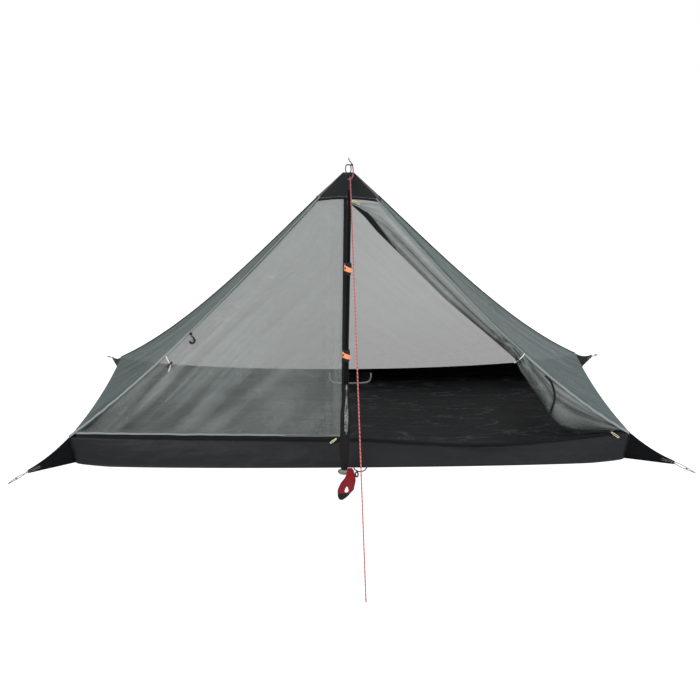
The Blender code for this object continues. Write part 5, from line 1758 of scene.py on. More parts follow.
def cloth_cone():
    rows = [cone_ring(t) for t in even(CONE_LEVELS, CONE_START, CONE_TOP)]
    top = rows[-1]
    centre = sum(top[:-1], Vector()) / (len(top) - 1)
    for share in (0.66, 0.33, 0.04):
        rows.append([spot.lerp(centre + vec(0, 0, 0.0012), 1 - share) for spot in top])
    cone = grid_object("cone_cloth", rows, centre - vec(0, 0, 0.05))
    weld(cone, WELD_REACH)
    thicken(cone, cloth().cloth)
    dress(cone, "black_nylon", "tent", "apex_cone")
    wide = route_length(rows[0])
    tall = (rows[CONE_LEVELS - 1][0] - rows[0][0]).length
    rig.sheet(cone, flat=(wide, tall), held="stretched", rests_on=["front_left_ridge_binding"],
             area=rows_area(rows))
    hem = shifted(cone_ring(CONE_START, 0.0008)[:-1], 0, 0, 0.0004)
    dress(tube_object("cone_hem", hem, 0.0017, closed=True), "black_webbing", "tent")
    above = cone_ring(CONE_START + 0.008, 0.0006)
    stitches("cone_hem_stitches", [above], finish="light_thread")
    for i, name in enumerate(("front_left", "front_right", "rear_right", "rear_left")):
        at = i * CONE_STEPS
        seam = [cone_ring(t, 0.0006)[at] for t in even(20, CONE_START, CONE_TOP)]
        dress(tube_object(f"{name}_cone_seam", seam, 0.0013), "black_webbing", "tent")


def hanging_loop():
    top = cone_ring(CONE_TOP)[:-1]
    centre = sum(top, Vector()) / len(top)
    foot = centre.z + 0.0005
    half = LOOP_WIDTH / 2 - WEBBING / 2
    crown = foot + LOOP_HEIGHT - WEBBING / 2
    shoulder = 0.011
    through = [(-half * 0.75, foot), (-half, foot + shoulder),
               (-half * 0.8, crown - shoulder * 0.35), (0, crown),
               (half * 0.8, crown - shoulder * 0.35), (half, foot + shoulder), (half * 0.75, foot)]
    route = smooth_route([(x, centre.y, z) for x, z in through], 48)
    loop = ribbon("hanging_webbing", route, (0, 1, 0), LOOP_DEPTH, 0.0036, 4, 0.0003)
    dress(loop, "black_webbing", "tent", "hang_loop")
    rows = [[spot + vec(0, side * LOOP_DEPTH * 0.36, 0) +
             (spot - vec(0, centre.y, foot + shoulder)).normalized() * 0.0012
             for spot in route] for side in (-1, 1)]
    stitches("hanging_webbing_stitches", rows, across=(0, 1, 0))


def pole_tab():
    share = (POLE_PIVOT.z - WALL_HEIGHT) / (APEX_HEIGHT - WALL_HEIGHT)
    rear = ridge(-1, -1, share).y - 0.0012
    rows = []
    sides = 40
    for k in range(sides + 1):
        angle = 2 * pi * k / sides
        x, y = cos(angle), sin(angle)
        hole = vec(x, y, 0) * 0.0064
        reach = 1 / max(abs(x), abs(y))
        far_y = y * reach * TAB_FRONT if y < 0 else y * reach * (rear - POLE_PIVOT.y)
        edge = vec(x * reach * TAB_WIDTH / 2, far_y, 0)
        rows.append([POLE_PIVOT + hole.lerp(edge, u) for u in (0, 0.25, 0.5, 0.75, 1)])
    tab = grid_object("pole_tab_webbing", rows, POLE_PIVOT - vec(0, 0, 1))
    weld(tab, WELD_REACH)
    thicken(tab, 0.0009)
    dress(tab, "black_webbing", "tent", "pole_tab")
    half = [(0.0045, 0.00065), (0.005, 0.0013), (0.007, 0.00143), (0.0088, 0.000975),
            (0.0088, 0.00078), (0.006, 0.000715)]
    profile = mirrored(half) + [(0.0045, -0.00065)]
    ring = turned_object("pole_tab_eyelet", profile, Matrix.Translation(POLE_PIVOT), 40)
    dress(ring, "steel", "tent", "pole_tab_ring")


class TENT_OT_cone(bpy.types.Operator):
    """The nylon cone with its hem, the hanging loop and the ringed tab for the pole"""

    bl_idname = "tent.cone"
    bl_label = "Cone"

    def execute(self, context):
        cloth_cone()
        hanging_loop()
        pole_tab()
        return {"FINISHED"}


# Zips


def coil(name, route, across, body):
    """The turns of a zip's coil along a route."""
    return bead_rows(
        name, [route], cloth().coil_pitch, (0.0023, 0.0009, 0.0009), across, "coil_nylon", body)


def zip_band(name, route, wide, width, body, node, to_coil, thickness=TAPE_THICKNESS, crown=0.0):
    """A tape along a route, and its coil at a distance from the route."""
    dress(ribbon(f"{name}_tape", route, wide, width, thickness, 4, crown), "zip_tape", body, node)
    coil(f"{name}_coil", shifted(route, *to_coil), wide, body)


def pull_route(place, end, arch):
    along = (end - place).normalized()
    side = along.cross(vec(0, 1, 0)).normalized() * PULL_WIDTH / 2
    middle = (place + end) / 2 + vec(0, 0, arch)
    near, far = place.lerp(end, 0.02), place.lerp(end, 0.92)
    return smooth_route([near - side * 0.4, middle - side, far - side * 0.8, end, far + side * 0.8,
                         middle + side, near + side * 0.4], 44)


def sill_zip():
    xs = even(220, SILL_END - HALF_WIDTH, HALF_WIDTH - SILL_END)
    middle = [vec(x, -HALF_DEPTH - 0.0002, front_sill(x) + SEAM_GAP + WALL_TAPE / 2) for x in xs]
    zip_band("sill", middle, (0, 0, 1), WALL_TAPE, "tent", "sill_zip_tape",
             (0, COIL_FORWARD, WALL_TAPE / 2 - 0.0022))
    low = shifted(middle, 0, STITCH_FORWARD, -WALL_TAPE / 2 + 0.0018)
    stitches("sill_stitches", [low], across=(0, 1, 0))


def left_door_zips():
    foot = straight_sill(DOOR_TAPE_WIDTH) + WALL_TAPE + HEM_TAPE + 2 * SEAM_GAP
    head = ridge(-1, -1, CONE_START).z + 0.006
    heights = even(120, foot, head)
    rows = [[vec(x, front_plane(z) + 0.0006, z) for x in even(7, zip_left(z), DOOR_TAPE_RIGHT)]
            for z in heights]
    tape = thicken(grid_object("left_door_tape", rows), TAPE_THICKNESS)
    dress(tape, "zip_tape", "left_door", "left_door_zip_tape")
    edge = [row[-1] + vec(-0.0022, COIL_FORWARD, 0) for row in rows]
    coil("left_door_coil", edge, (1, 0, 0), "left_door")
    lines = [[row[at] + vec(0, STITCH_FORWARD, 0) for row in rows] for at in (1, 4)]
    stitches("left_door_tape_stitches", lines, "left_door", across=(0, 1, 0))

    start = ridge(-1, -1, 0.02).x + HEM_START
    lift = WALL_TAPE + 2 * SEAM_GAP + HEM_TAPE / 2
    middle = [vec(x, -HALF_DEPTH - 0.0002, straight_sill(x) + lift)
              for x in even(160, start, DOOR_TAPE_RIGHT)]
    zip_band("left_hem", middle, (0, 0, 1), HEM_TAPE - SEAM_GAP, "left_door", "left_door_hem_tape",
             (0, COIL_FORWARD, -HEM_TAPE / 2 + 0.0026))


def right_door_zips():
    across = vec(0.7, 0, 0.7)
    rows = []
    for x in even(190, GATHER_START + 0.002, 0.64):
        z = curve_height(x, DOOR_EDGE)
        near = bow(limited(x / 0.165)) ** 1.5
        width = 0.0062 + 0.0155 * near - 0.004 * max(0.0, 1 - x / 0.03)
        spot = vec(x, front_plane(z) - 0.0002 - 0.0045 * near, z)
        rows.append([spot + across * width * u for u in even(5)])
    tape = thicken(grid_object("right_door_tape", rows, vec(0.3, 0, 0.3)), TAPE_THICKNESS)
    dress(tape, "zip_tape", "tent", "right_door_zip_tape")
    edge = [row[0] + across * 0.0022 + vec(0, COIL_FORWARD, 0) for row in rows]
    coil("right_door_coil", edge, across, "tent")
    piping = tube_object(
        "right_door_piping", [row[-1] + vec(0, -0.0012, 0) for row in rows[:14]], 0.0014)
    dress(piping, "light_binding", "tent")

    tail = smooth_route([(x, front_plane(z) - TAIL_FORWARD, z) for x, z in ZIP_TAIL], 60)
    zip_band("right_tail", tail, (1, 0, 0.2), 0.0085, "tent", "right_door_zip_tail",
             (0.0012, -0.0016, 0), 0.0014, 0.0006)

    hem = []
    for x in even(60, 0.806, 1.062):
        z = curve_height(x, DOOR_EDGE)
        wave = 0.004 * ripple(x * 16, 0.0, 13.0)
        hem.append(vec(x, front_plane(z) - 0.0235 + 0.5 * wave, z + 0.003))
    band = ribbon("right_door_hem", hem, (0, 0, 1), HEM_TAPE, 0.0012, 4, 0.0006)
    dress(band, "zip_tape", "tent")


def sliders():
    for name, x, along, reach, finish in (
            ("top", DOOR_TAPE_RIGHT, (0, 0, 1), TOP_PULL, "yellow_cord"),
            ("left_sill", LEFT_SLIDER_X, (1, 0, 0), LEFT_PULL, "lime_cord"),
            ("right_sill", RIGHT_SLIDER_X, (1, 0, 0), RIGHT_PULL, "gold_cord")):
        z = TOP_SLIDER_HEIGHT
        if name != "top":
            z = straight_sill(x) + WALL_TAPE + SEAM_GAP * 1.5
        front = front_plane(z) - TAPE_THICKNESS / 2 - 0.0013
        place = vec(x, front, z)
        slider(name, place, Vector(along))
        start = place + vec(0, -SLIDER_THICKNESS - PULL_RADIUS - 0.0003, 0)
        points = pull_route(start, start + Vector(reach), 0.009 if name == "top" else 0.0)
        cord = tube_object(f"{name}_pull_cord", points, PULL_RADIUS, 10)
        dress(cord, finish, f"{name}_pull", f"{name}_pull")
        declare_cord(cord, points, PULL_RADIUS, lay="hanging")


def slider(name, place, along):
    """Upper plate with its waist, and the bail."""
    plate = frame_along(place, vec(0, -1, 0), along)
    length, width, thick = SLIDER_LENGTH / 2, SLIDER_WIDTH / 2, SLIDER_THICKNESS
    outline = mirrored([(-length, width * 0.55), (-length * 0.45, width), (0, width * 0.82),
                        (length * 0.65, width), (length, width * 0.62)])
    rings = []
    for height, grow in ((0.0002, 0.9), (0.0006, 1.0), (thick * 0.45, 1.0), (thick * 0.62, 0.88)):
        rings.append([plate @ vec(x * grow, y * grow, height) for x, y in outline])
    body = sweep_object(f"{name}_slider_plate", rings)
    dress(body, "slider_metal", f"{name}_slider", f"{name}_slider")
    bail = smooth_route([plate @ vec(length * x, 0, thick * z) for x, z in (
        (-0.62, 0.45), (-0.45, 0.86), (0, 0.97), (0.45, 0.86), (0.62, 0.45))], 24)
    dress(ribbon(f"{name}_slider_bail", bail, plate.to_3x3() @ vec(0, 1, 0), 0.0026, 0.0007, 2),
          "slider_metal", f"{name}_slider", slot=None)


class TENT_OT_zips(bpy.types.Operator):
    """Zip tapes with their coils, the three sliders and their pull cords"""

    bl_idname = "tent.zips"
    bl_label = "Zips"

    def execute(self, context):
        sill_zip()
        left_door_zips()
        right_door_zips()
        sliders()
        return {"FINISHED"}


# Corners


GUSSET_STEPS = 30
GUSSET_RISE = 14


def gusset(name, signs, end):
    corner = vec(signs[0] * HALF_WIDTH, signs[1] * HALF_DEPTH, 0)
    foot = wall_foot("front", 0.0)
    out = vec(end.x, end.y, 0).normalized()
    side = vec(-out.y, out.x, 0)
    low = vec(signs[0] * abs(foot.x), signs[1] * abs(foot.y), 0.0012) + out * 0.0012
    top = corner + vec(0, 0, WALL_HEIGHT - 0.0012) + out * 0.0012
    end_low, end_top = corner + end, corner + end + vec(0, 0, STRAP_HEIGHT)
    rows = []
    for u in even(GUSSET_STEPS + 1):
        a, b = low.lerp(end_low, u), top.lerp(end_top, u) - vec(0, 0, 0.01 * bow(u))
        row = []
        for v in even(GUSSET_RISE + 1):
            fold = ripple(v * 7.0 - u * 1.5, u * 2.0, 15.0 + signs[0] + 3 * signs[1])
            row.append(a.lerp(b, v) + side * (0.0042 * fold * bow(v, 0.5) * (1 - u) *
                                              min(1.0, 8 * u)))
        rows.append(row)
    cloth_piece = grid_object(f"{name}_gusset_cloth", rows)
    thicken(cloth_piece, 0.0009)
    dress(cloth_piece, "corner_nylon", "tent", f"{name}_gusset")
    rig.sheet(cloth_piece, flat=((end_low - low).length, (top - low).length), held="stretched",
             rests_on=["floor_tub"], area=rows_area(rows))
    corner_webbing(name, rows, side)
    edge = [row[-1] for row in rows]
    dress(tube_object(f"{name}_gusset_edge", edge, 0.0011), "black_webbing", "tent")
    seam = [low.lerp(top, v) - out * 0.0006 for v in even(14)]
    dress(tube_object(f"{name}_corner_seam", seam, 0.0014), "black_webbing", "tent")


def corner_webbing(name, rows, side):
    """A webbing end sewn on both faces of the gusset, with its box of stitches."""
    middle = [row[0].lerp(row[-1], 0.5) for row in rows[int(GUSSET_STEPS * 0.72):]]
    run = (middle[-1] - middle[-2]).normalized()
    for face, shift in (("near", 0.0013), ("far", -0.0013)):
        route = [spot + side * shift for spot in middle]
        band = ribbon(f"{name}_webbing_{face}", route, UP, STRAP_HEIGHT * 0.9, 0.0011)
        dress(band, "black_webbing", "tent")
    first, last = middle[1] + run * 0.002, middle[-1] - run * 0.004
    high = UP * (STRAP_HEIGHT * 0.34)
    box = [first + high, last + high, last - high, first - high, first + high, last - high,
           first - high, last + high]
    loops = []
    for shift in (0.002, -0.002):
        for a, b in zip(box, box[1:]):
            loops.append([a.lerp(b, u) + side * shift for u in even(8)])
    stitches(f"{name}_webbing_stitches", loops, "tent", "light_thread", tuple(side))


def corner_pieces():
    for name, (signs, end, _) in TIE_OUTS.items():
        gusset(name, signs, Vector(end))


class TENT_OT_corners(bpy.types.Operator):
    """The nylon gusset, webbing and corner seam at each of the four corners"""

    bl_idname = "tent.corners"
    bl_label = "Corners"

    def execute(self, context):
        corner_pieces()
        return {"FINISHED"}


# Ties and hooks


def toggle_object(name, centre, along):
    end = [(0, 0.015), (0.0022, 0.015), (0.0036, 0.01425), (0.004, 0.0123), (0.0038, 0.00825),
           (0.0028, 0.0018)]
    profile = mirrored(end, [(0.00248, 0)])
    return turned_object(name, profile, frame_along(centre, along, vec(0, 1, 0)), 24)


def left_tie():
    hang = ridge(-1, -1, LEFT_TIE_SHARE) + vec(0, -0.006, 0)
    through = [hang + Vector(step) for step in (
        (0, 0, 0), (0.007, -0.002, -0.016), (0.014, -0.002, -0.031), (0.015, -0.002, -0.046),
        (0.007, -0.002, -0.064))]
    tie("left", smooth_route(through, 48), "left_tie", "left_tie_cord", "bare", "hanging",
        hang + vec(0.014, -0.0086, -0.033), vec(0.72, 0, 0.69))


def right_tie():
    seam = ridge(1, -1, 1 - TIE_SEAM_X / HALF_WIDTH)
    down = vec(-0.7, 0, -0.71)
    front, back = vec(0, -0.0139, 0), vec(0, 0.0139, 0)
    start = seam - down * 0.0006
    through = [vec(start.x, seam.y - 0.0053, start.z), seam + down * 0.01 + front,
               seam + down * TIE_DEPTH * 0.75 + front, seam + down * (TIE_DEPTH + 0.007),
               seam + down * TIE_DEPTH * 0.75 + back, seam + down * 0.012 + back]
    seat = seam + down * (TIE_DEPTH * 0.7) + vec(0, -0.0206, 0)
    tie("right", smooth_route(through, 60), "tent", "right_tie_loop", "object", "taut", seat,
        vec(0.7, 0, -0.71))


def tie(side, points, body, node, far_end, lay, seat, along):
    cord = tube_object(f"{side}_tie_elastic", points, TIE_RADIUS, 10)
    dress(cord, "white_elastic", body, node)
    bar = toggle_object(f"{side}_tie_bar", seat, along)
    dress(bar, "black_plastic", body, f"{side}_tie_toggle")
    declare_cord(cord, points, TIE_RADIUS, far_end, lay=lay, with_pieces=[bar])


def hooks():
    for name, key, share, lean, offset, wide, width in (
            ("front_left", (-1, -1), LEFT_HOOK_SHARE, 0.009, (0, -0.005, 0.001), (1, 0, 0), 0.01),
            ("rear_right", (1, 1), RIGHT_HOOK_SHARE, 0.0, (0, 0, -0.00488), (0.73, -0.68, 0),
             0.005)):
        first = ridge(*key, share) + Vector(offset)
        line = smooth_route(
            [first, first + vec(lean * 0.3, 0, -0.005), first + vec(lean * 0.5, 0, -0.01)], 12)
        tab = ribbon(f"{name}_hook_webbing", line, wide, width, 0.0013, 4, 0.0002)
        dress(tab, "black_webbing", "tent", f"{name}_hook_tab")
        top = line[-1] + vec(0, 0, -HOOK_RADIUS - 0.0012)
        side = vec(0.003, 0, 0)
        r = 0.01
        route = smooth_route([top - side, top + side] + [
            top + vec(x * r, 0, z * r) for x, z in (
                (0.9, -0.9), (1.15, -1.9), (0.5, -2.75), (-0.45, -2.6), (-0.75, -1.8))], 56)
        ease = [min(1.0, 0.4 + 0.035 * i, 0.55 + 0.12 * (len(route) - 1 - i))
                for i in range(len(route))]
        hook = tube_object(f"{name}_hook_bend", route, [HOOK_RADIUS * e for e in ease], 12)
        dress(hook, "black_plastic", f"{name}_hook", f"{name}_hook")


class TENT_OT_ties(bpy.types.Operator):
    """Toggles and elastics of both doors, and the two small hooks"""

    bl_idname = "tent.ties"
    bl_label = "Ties and Hooks"

    def execute(self, context):
        left_tie()
        right_tie()
        hooks()
        return {"FINISHED"}


# Pocket


POCKET_X = 0.008
POCKET_HALF = 0.1075
POCKET_DEPTH = 0.016


def net_pocket():
    rim = wall_top("rear", 0.5)
    back = rim.y - 0.0016
    low, mouth = 0.0034, rim.z - 0.01
    outline = pocket_outline(back)
    rows = [[vec(spot.x, back, low) for spot in outline]]
    for k, z in enumerate(even(16, low, mouth)):
        row = []
        for i, spot in enumerate(outline):
            u = i / (len(outline) - 1)
            sway = 0.0016 * ripple(u * 9.0, z * 30.0, 23.0) * bow(u, 0.5)
            dip = 0.0035 * bow(u) * (k / 15)
            row.append(vec(spot.x, spot.y + abs(sway), z - dip))
        rows.append(row)
    net = grid_object("pocket_netting", rows, vec(0, back + 0.05, 0.05))
    dress(net, "pocket_netting", "tent", "rear_pocket")
    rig.sheet(net, flat=(route_length(rows[-1]), mouth - low + POCKET_DEPTH), held="hung",
             rests_on=["floor_tub"], area=rows_area(rows))
    front = rows[1][len(outline) // 2].y - 0.0012
    left, right = POCKET_X - POCKET_HALF + 0.006, POCKET_X + POCKET_HALF - 0.006
    curve = 0.028
    edge = smooth_route(
        [(left, front, mouth - 0.006), (left, front, low + curve),
         (left + curve, front, low + 0.003), (right - curve, front, low + 0.003),
         (right, front, low + curve), (right, front, mouth - 0.006)], 90)
    # The hem takes the white elastic, lighter than the light binding it stands for: painted light
    band = tube_object("pocket_piping", edge, 0.0037)
    dress(band, "white_elastic", "tent", slot="light_binding")


def pocket_outline(back):
    """Across the pocket's front, with rounded front corners, from wall to wall."""
    ease = 0.006
    front = back - POCKET_DEPTH + 0.001
    corners = [(-POCKET_HALF, back), (-POCKET_HALF, front + ease), (-POCKET_HALF + ease, front),
               (POCKET_HALF - ease, front), (POCKET_HALF, front + ease), (POCKET_HALF, back)]
    fine = [vec(POCKET_X + x, y, 0) for x, y in corners]
    return spread(fine, 81)


class TENT_OT_pocket(bpy.types.Operator):
    """The netting pocket inside the rear wall, with its pale hem"""

    bl_idname = "tent.pocket"
    bl_label = "Pocket"

    def execute(self, context):
        net_pocket()
        return {"FINISHED"}


# Pole

# The foam grip's (height, radius) from its top cap to its other end
GRIP_OUTLINE = (
    (0.0203, 0.0125), (0.03, 0.014), (0.05, 0.0185), (0.11, 0.0195), (0.19, 0.019), (0.25, 0.0195),
    (0.3, 0.015), (0.345, 0.0125), (0.372, 0.0118))

GRIP_TUBE_END = 0.512
MIDDLE_TUBE_END = 0.855
CLAMP_HEIGHT = 0.046
CLAMP_WALL = 0.0042
LEVER_THICKNESS = 0.0046
LEVER_START = 192
LEVER_SWEEP = 150
INLAY_ANGLE = -1.34


def pole_tubes(place, length):
    shoulder = length - 0.009
    for name, radius, low, high, section in (
            ("grip", 0.009, 0.0203, GRIP_TUBE_END, "pole_grip_section"),
            ("middle", 0.008, 0.385, MIDDLE_TUBE_END, "pole_middle_section"),
            ("tip", 0.007, 0.745, shoulder - 0.03, "pole_tip_section")):
        wall, ease = 0.0007, 0.0003
        profile = [(radius - wall, low + ease), (radius - ease, low), (radius, low + ease)]
        profile += [(radius, z) for z in even(12, low + 0.01, high - 0.01)]
        profile += [(radius, high - ease), (radius - ease, high), (radius - wall, high - ease),
                    (radius - wall, low + ease)]
        tube = turned_object(f"{name}_tube_metal", profile, place, 40)
        dress(tube, "black_aluminium", section, f"pole_{name}_tube")


def pole_tip(place, length):
    shoulder = length - 0.009
    ferrule = [(radius, shoulder + rise) for radius, rise in (
        (0, -0.0297), (0.0074, -0.0297), (0.0078, -0.029), (0.0077, -0.0255), (0.0071, -0.025),
        (0.0071, -0.0235), (0.0076, -0.023), (0.0075, -0.018), (0.006, -0.008), (0.0046, 0),
        (0.0034, 0.0018), (0.003, 0.002), (0, 0.002))]
    dress(turned_object("tip_ferrule", ferrule, place, 40), "black_plastic", "pole_tip_section",
          "pole_ferrule")
    low, high = shoulder + 0.0023, length + 0.015
    point = [(0, low), (0.0023, low), (0.0024, low + 0.0003), (0.0024, high - 0.0035),
             (0.0019, high - 0.0014), (0.0016, high - 0.0003), (0.0011, high - 0.0008),
             (0, high - 0.0012)]
    dress(turned_object("tip_steel", point, place, 24), "slider_metal", "pole_tip_section",
          "pole_steel_tip", slot="steel")
    centre = frame_along(POLE_PIVOT, POLE_PIVOT - POLE_FOOT)
    bar = 0.0017
    ring = circle(centre, 0.0024 + bar + 0.00045, 40, 0.0052)
    dress(tube_object("guy_line_eye", ring, bar, 12, closed=True), "red_cord", "pole_tip_section",
          "guy_ring")


def pole_grip(place):
    pommel = [(0, 0.0003), (0.009, 0.0006), (0.012, 0.0012), (0.0175, 0.0026), (0.0215, 0.0045),
              (0.0243, 0.007), (0.0255, 0.0095), (0.0254, 0.012), (0.0245, 0.014),
              (0.0215, 0.0162), (0.017, 0.0185), (0.0142, 0.0193), (0.013, 0.02), (0, 0.02)]
    dress(turned_object("pommel_cap", pommel, place, 64), "pommel_grey", "pole_grip_section",
          "pole_pommel")
    rim = circle(place, 0.0248, 64, 0.0134)
    dress(tube_object("pommel_rim", rim, 0.001, closed=True), "black_plastic", "pole_grip_section")
    bore = 0.0093
    profile = [(bore, 0.0203)]
    for z in even(176, 0.0203, 0.372):
        radius = curve_height(z, GRIP_OUTLINE)
        for low, high, pitch in ((0.056, 0.1, 0.0055), (0.262, 0.352, 0.009)):
            if low < z < high:
                groove = abs(((z - low) / pitch) % 1 - 0.5) * 2
                radius -= 0.001 * max(0.0, 1 - groove * 3.2)
        profile.append((radius, z))
    profile += [(bore, 0.372), (bore, 0.0203)]
    dress(turned_object("grip_foam", profile, place), "black_foam", "pole_grip_section",
          "pole_grip")
    grip_inlay(place)


def grip_inlay(place):
    rows = []
    for u in even(44):
        height = 0.17 + 0.205 * u
        wide = 0.003 + 0.0046 / (1 + exp((u - 0.6) / 0.05))
        wide *= min(1.0, 0.3 + 5 * u, 0.35 + 14 * (1 - u))
        row = []
        for v in even(13, -1, 1):
            radius = curve_height(height, GRIP_OUTLINE) + 0.0004 + 0.001 * (1 - v ** 4)
            angle = INLAY_ANGLE + wide / radius * v
            row.append(round_spot(place, radius, angle, height))
        rows.append(row)
    inlay = thicken(grid_object("grip_inlay", rows, place @ vec(0, 0, 0.27)), 0.0006)
    dress(inlay, "grip_grey", "pole_grip_section", "pole_grip_inlay")
    dots = []
    for k in range(34):
        height = 0.176 + 0.0052 * k
        radius = curve_height(height, GRIP_OUTLINE) + 0.0024
        wander = ripple(k * 1.7, 0.0, 91.0)
        for side in (-1, 1):
            angle = INLAY_ANGLE + (side * 0.0026 + 0.003 * wander) / radius
            spot = round_spot(place, radius, angle, height + 0.0016 * side * wander)
            dots.append([spot, spot + vec(0, 0, 0.0004)])
    bead_rows("grip_inlay_dots", dots, 0.01, (0.0013, 0.0006, 0.0015), (1, 0, 0), "black_foam",
              "pole_grip_section")


def pole_clamp(name, place, top, radius, section):
    inner = radius + 0.0003
    outer = inner + CLAMP_WALL
    low, high = top - CLAMP_HEIGHT, top
    profile = [(inner, low + 0.0004), (inner + 0.0004, low)]
    profile += [(outer - back, low + rise) for back, rise in (
        (0.0022, 0), (0.0015, 0.0008), (0.001, 0.01), (0.0002, 0.0125), (0, 0.014), (0, 0.02),
        (0.0009, 0.0205), (0.0009, 0.0222), (0, 0.0227))]
    profile += [(outer, high - 0.0035), (outer - 0.0006, high - 0.0012), (outer - 0.002, high),
                (inner + 0.0004, high), (inner, high - 0.0004), profile[0]]
    collar = turned_object(f"{name}_clamp_collar", profile, place)
    dress(collar, "black_plastic", section, f"{name}_clamp")
    middle = (low + high) / 2 + 0.006
    inside = outer + 0.0003

    rings = []
    for u in even(37):
        angle = radians(LEVER_START + LEVER_SWEEP * u)
        ends = min(1.0, 0.45 + 7 * u, 0.55 + 9 * (1 - u))
        tall = 0.012 * (1.0 - 0.35 * u) * ends
        z = middle - 0.013 * u
        thick = LEVER_THICKNESS * (0.78 + 0.22 * ends)
        waist = 1 - 0.1 * exp(-((u - 0.3) / 0.12) ** 2)
        ring = []
        for across, rise in mirrored(
                ((0, 0.82), (0.22, 0.97), (0.6, 1.0), (0.88, 0.86), (1.0, 0.55))):
            ring.append(round_spot(place, inside + across * thick, angle, z + rise * tall * waist))
        rings.append(ring)
    lever = sweep_object(f"{name}_clamp_lever", rings)
    dress(lever, "orange_plastic", f"{name}_lever", f"{name}_lever")
    clamp_pin(name, place, inside, middle, section)
    face = inside + LEVER_THICKNESS
    turn = radians(LEVER_START + 34)
    axis = place.to_3x3() @ vec(cos(turn), sin(turn), 0)
    disc = turned_object(f"{name}_lever_pivot", [
        (0, -0.001), (0.0042, -0.001), (0.0042, 0.0003), (0.0036, 0.0008), (0, 0.0008)],
                         frame_along(round_spot(place, face, turn, middle - 0.0015), axis,
                                     place.to_3x3() @ UP), 20)
    dress(disc, "black_plastic", f"{name}_lever")


def clamp_pin(name, place, inside, middle, section):
    """The heads of the lever's cross pin, above and below the lever."""
    angle = radians(LEVER_START)
    reach = inside + LEVER_THICKNESS / 2
    spot = round_spot(place, reach, angle, middle)
    for end, turn in (("upper", 1), ("lower", -1)):
        start = 0.0124
        profile = [(0, start), (0.0019, start), (0.0022, start + 0.0004), (0.002, start + 0.0012),
                   (0.001, start + 0.0016), (0, start + 0.0016)]
        axis = place.to_3x3() @ vec(0, 0, turn)
        head = turned_object(f"{name}_pin_{end}_head", profile, frame_along(spot, axis), 20)
        dress(head, "steel", section, slot=None)


def whole_pole():
    place = frame_along(POLE_FOOT, POLE_PIVOT - POLE_FOOT)
    length = (POLE_PIVOT - POLE_FOOT).length
    pole_tubes(place, length)
    pole_tip(place, length)
    pole_grip(place)
    for name, top, radius, section in (
            ("lower", GRIP_TUBE_END, 0.009, "pole_grip_section"),
            ("upper", MIDDLE_TUBE_END, 0.008, "pole_middle_section")):
        pole_clamp(name, place, top, radius, section)


class TENT_OT_pole(bpy.types.Operator):
    """The trekking pole: tubes, lever clamps, foam grip, pommel, ferrule and tip"""

    bl_idname = "tent.pole"
    bl_label = "Pole"

    def execute(self, context):
        whole_pole()
        return {"FINISHED"}


# Wrist strap

STRAP_ROWS = ((-0.7365, 0.0250, -0.0108, -0.0030, -0.0020, 0.0060),
              (-0.7530, 0.0222, -0.0100, -0.0005, 0.0005, 0.0140),
              (-0.7720, 0.0110, -0.0150, 0.0005, 0.0020, 0.0175),
              (-0.7900, 0.0014, -0.0235, 0.0000, 0.0020, 0.0195),
              (-0.8300, 0.0013, -0.0360, -0.0050, -0.0030, 0.0185),
              (-0.8700, 0.0013, -0.0435, -0.0160, -0.0120, 0.0145),
              (-0.9050, 0.0013, -0.0490, -0.0230, -0.0080, 0.0110),
              (-0.9350, 0.0013, -0.0500, -0.0250, -0.0090, 0.0000),
              (-0.9455, 0.0013, -0.0500, -0.0260, -0.0110, -0.0040))
STRAP_GAP_ROWS = (5, 7)
STRAP_RING = vec(0.0252, -0.7735, 0.0125)


def strap_band():
    rows = [[vec(x, y, z) for x in xs] for y, z, *xs in STRAP_ROWS]
    points = [spot for row in rows for spot in row]
    uvs = [(spot.x, spot.y) for spot in points]
    faces = []
    for i in range(len(rows) - 1):
        for j in range(3):
            if j == 1 and STRAP_GAP_ROWS[0] <= i < STRAP_GAP_ROWS[1]:
                continue
            a = i * 4 + j
            faces.append((a, a + 4, a + 5, a + 1))
    band = mesh_object("strap_webbing", points, faces, uvs)
    smooth = band.modifiers.new("Smooth", "SUBSURF")
    smooth.levels = smooth.render_levels = 2
    smooth.boundary_smooth = "PRESERVE_CORNERS"
    thicken(band, 0.0016)
    dress(band, "red_webbing", "wrist_strap", "wrist_strap")
    lines = []
    for column, inset in ((0, 0.0016), (3, -0.0016)):
        lines.append(smooth_route([row[column] + vec(inset, 0, 0.001) for row in rows], 60))
    stitches("strap_stitches", lines, "wrist_strap")
    for column, name in ((0, "left"), (3, "right")):
        edge = smooth_route([row[column] + vec(0, 0, 0.0006) for row in rows[2:]], 60)
        cord = tube_object(f"strap_{name}_edge", edge, 0.0009)
        dress(cord, "black_webbing", "wrist_strap", slot="red_webbing")


def strap_pad():
    outline = [vec(x, y, 0) for x, y in (
        (-0.05, -0.9462), (-0.0035, -0.9462), (-0.0075, -0.961), (-0.018, -0.984), (-0.03, -1.005),
        (-0.0375, -1.008), (-0.0455, -0.997), (-0.0498, -0.975))]
    fine = spread(outline + outline[:1], 61)[:-1]
    centre = sum(fine, Vector()) / len(fine)
    rings = []
    for z, grow in ((0.0004, 0.9), (0.0009, 0.985), (0.0022, 1.0), (0.0034, 0.985), (0.0041, 0.9),
                    (0.0043, 0.6), (0.0044, 0.2)):
        rings.append([centre + (spot - centre) * grow + vec(0, 0, z) for spot in fine])
    pad = sweep_object("strap_end_pad", rings)
    dress(pad, "black_foam", "wrist_strap", "strap_pad", slot="black_webbing")
    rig.padded(pad, fill=0.3)
    line = [centre + (spot - centre) * 0.86 + vec(0, 0, 0.0043) for spot in fine]
    stitches("strap_pad_stitches", [line + line[:1]], "wrist_strap")


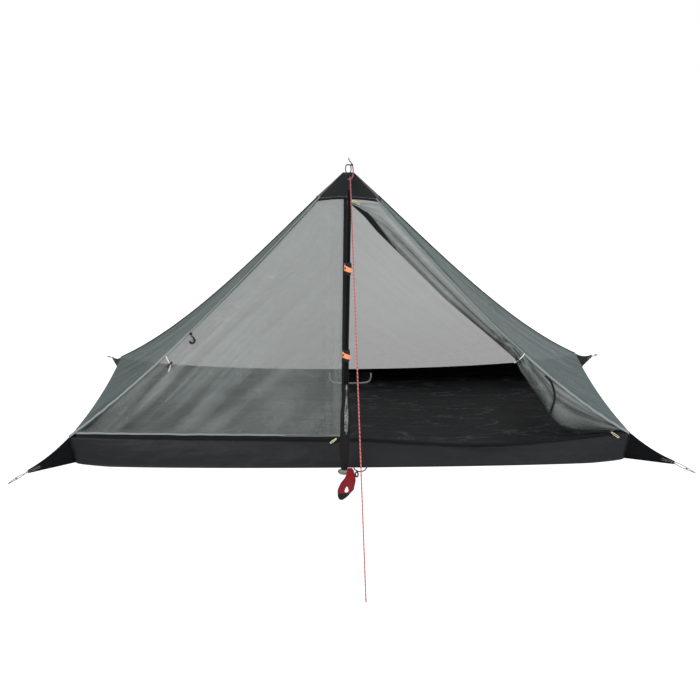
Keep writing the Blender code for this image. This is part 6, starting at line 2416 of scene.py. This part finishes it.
def strap_ring():
    place = frame_along(STRAP_RING, vec(0, -0.47, 0.88))
    spots = circle(place, 0.0053, 48, deep=0.0123)
    ring = tube_object("strap_buckle", spots, 0.003, 12, closed=True)
    dress(ring, "black_plastic", "wrist_strap", "strap_ring")


class TENT_OT_strap(bpy.types.Operator):
    """The wrist strap with its padded end and its ring"""

    bl_idname = "tent.strap"
    bl_label = "Wrist Strap"

    def execute(self, context):
        strap_band()
        strap_pad()
        strap_ring()
        return {"FINISHED"}


class TENT_PT_pieces(bpy.types.Panel):
    """Sizes and colours, and a button for each group of pieces"""

    bl_label = "Mesh Inner Tent"
    bl_idname = "TENT_PT_pieces"
    bl_space_type = "VIEW_3D"
    bl_region_type = "UI"
    bl_category = "Tent"

    def draw(self, context):
        for setting, kind in SETTINGS.items():
            box = self.layout.box()
            for key in kind.__annotations__:
                box.prop(getattr(context.scene, setting), key)
        for name in OPERATORS:
            self.layout.operator(f"tent.{name}")


# Running it all

OPERATORS = ("stage", "cords", "tub", "panels", "left_door", "right_door", "ridges", "cone",
             "zips", "corners", "ties", "pocket", "pole", "strap")
SETTINGS = {"tent_cloth": TentCloth, "tent_colours": TentColours, "tent_stage": TentStage}
CLASSES = (*SETTINGS.values(), TENT_OT_stage, TENT_OT_cords, TENT_OT_tub, TENT_OT_panels,
           TENT_OT_left_door, TENT_OT_right_door, TENT_OT_ridges, TENT_OT_cone, TENT_OT_zips,
           TENT_OT_corners, TENT_OT_ties, TENT_OT_pocket, TENT_OT_pole, TENT_OT_strap,
           TENT_PT_pieces)


def register():
    for one in CLASSES:
        bpy.utils.register_class(one)
    for key, kind in SETTINGS.items():
        setattr(bpy.types.Scene, key, bpy.props.PointerProperty(type=kind))


def unregister():
    for key in SETTINGS:
        delattr(bpy.types.Scene, key)
    for one in reversed(CLASSES):
        bpy.utils.unregister_class(one)


def main():
    register()
    build_materials()
    build_bead_tree()
    for name in OPERATORS:
        getattr(bpy.ops.tent, name)()
    seen_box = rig.bounds()
    boxes = {"cad": [list(corner) for corner in CAD_BOX],
             "visual": [list(corner) for corner in seen_box]}
    with open("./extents.json", "w") as target:
        json.dump(boxes, target)


if __name__ == "__main__":
    main()
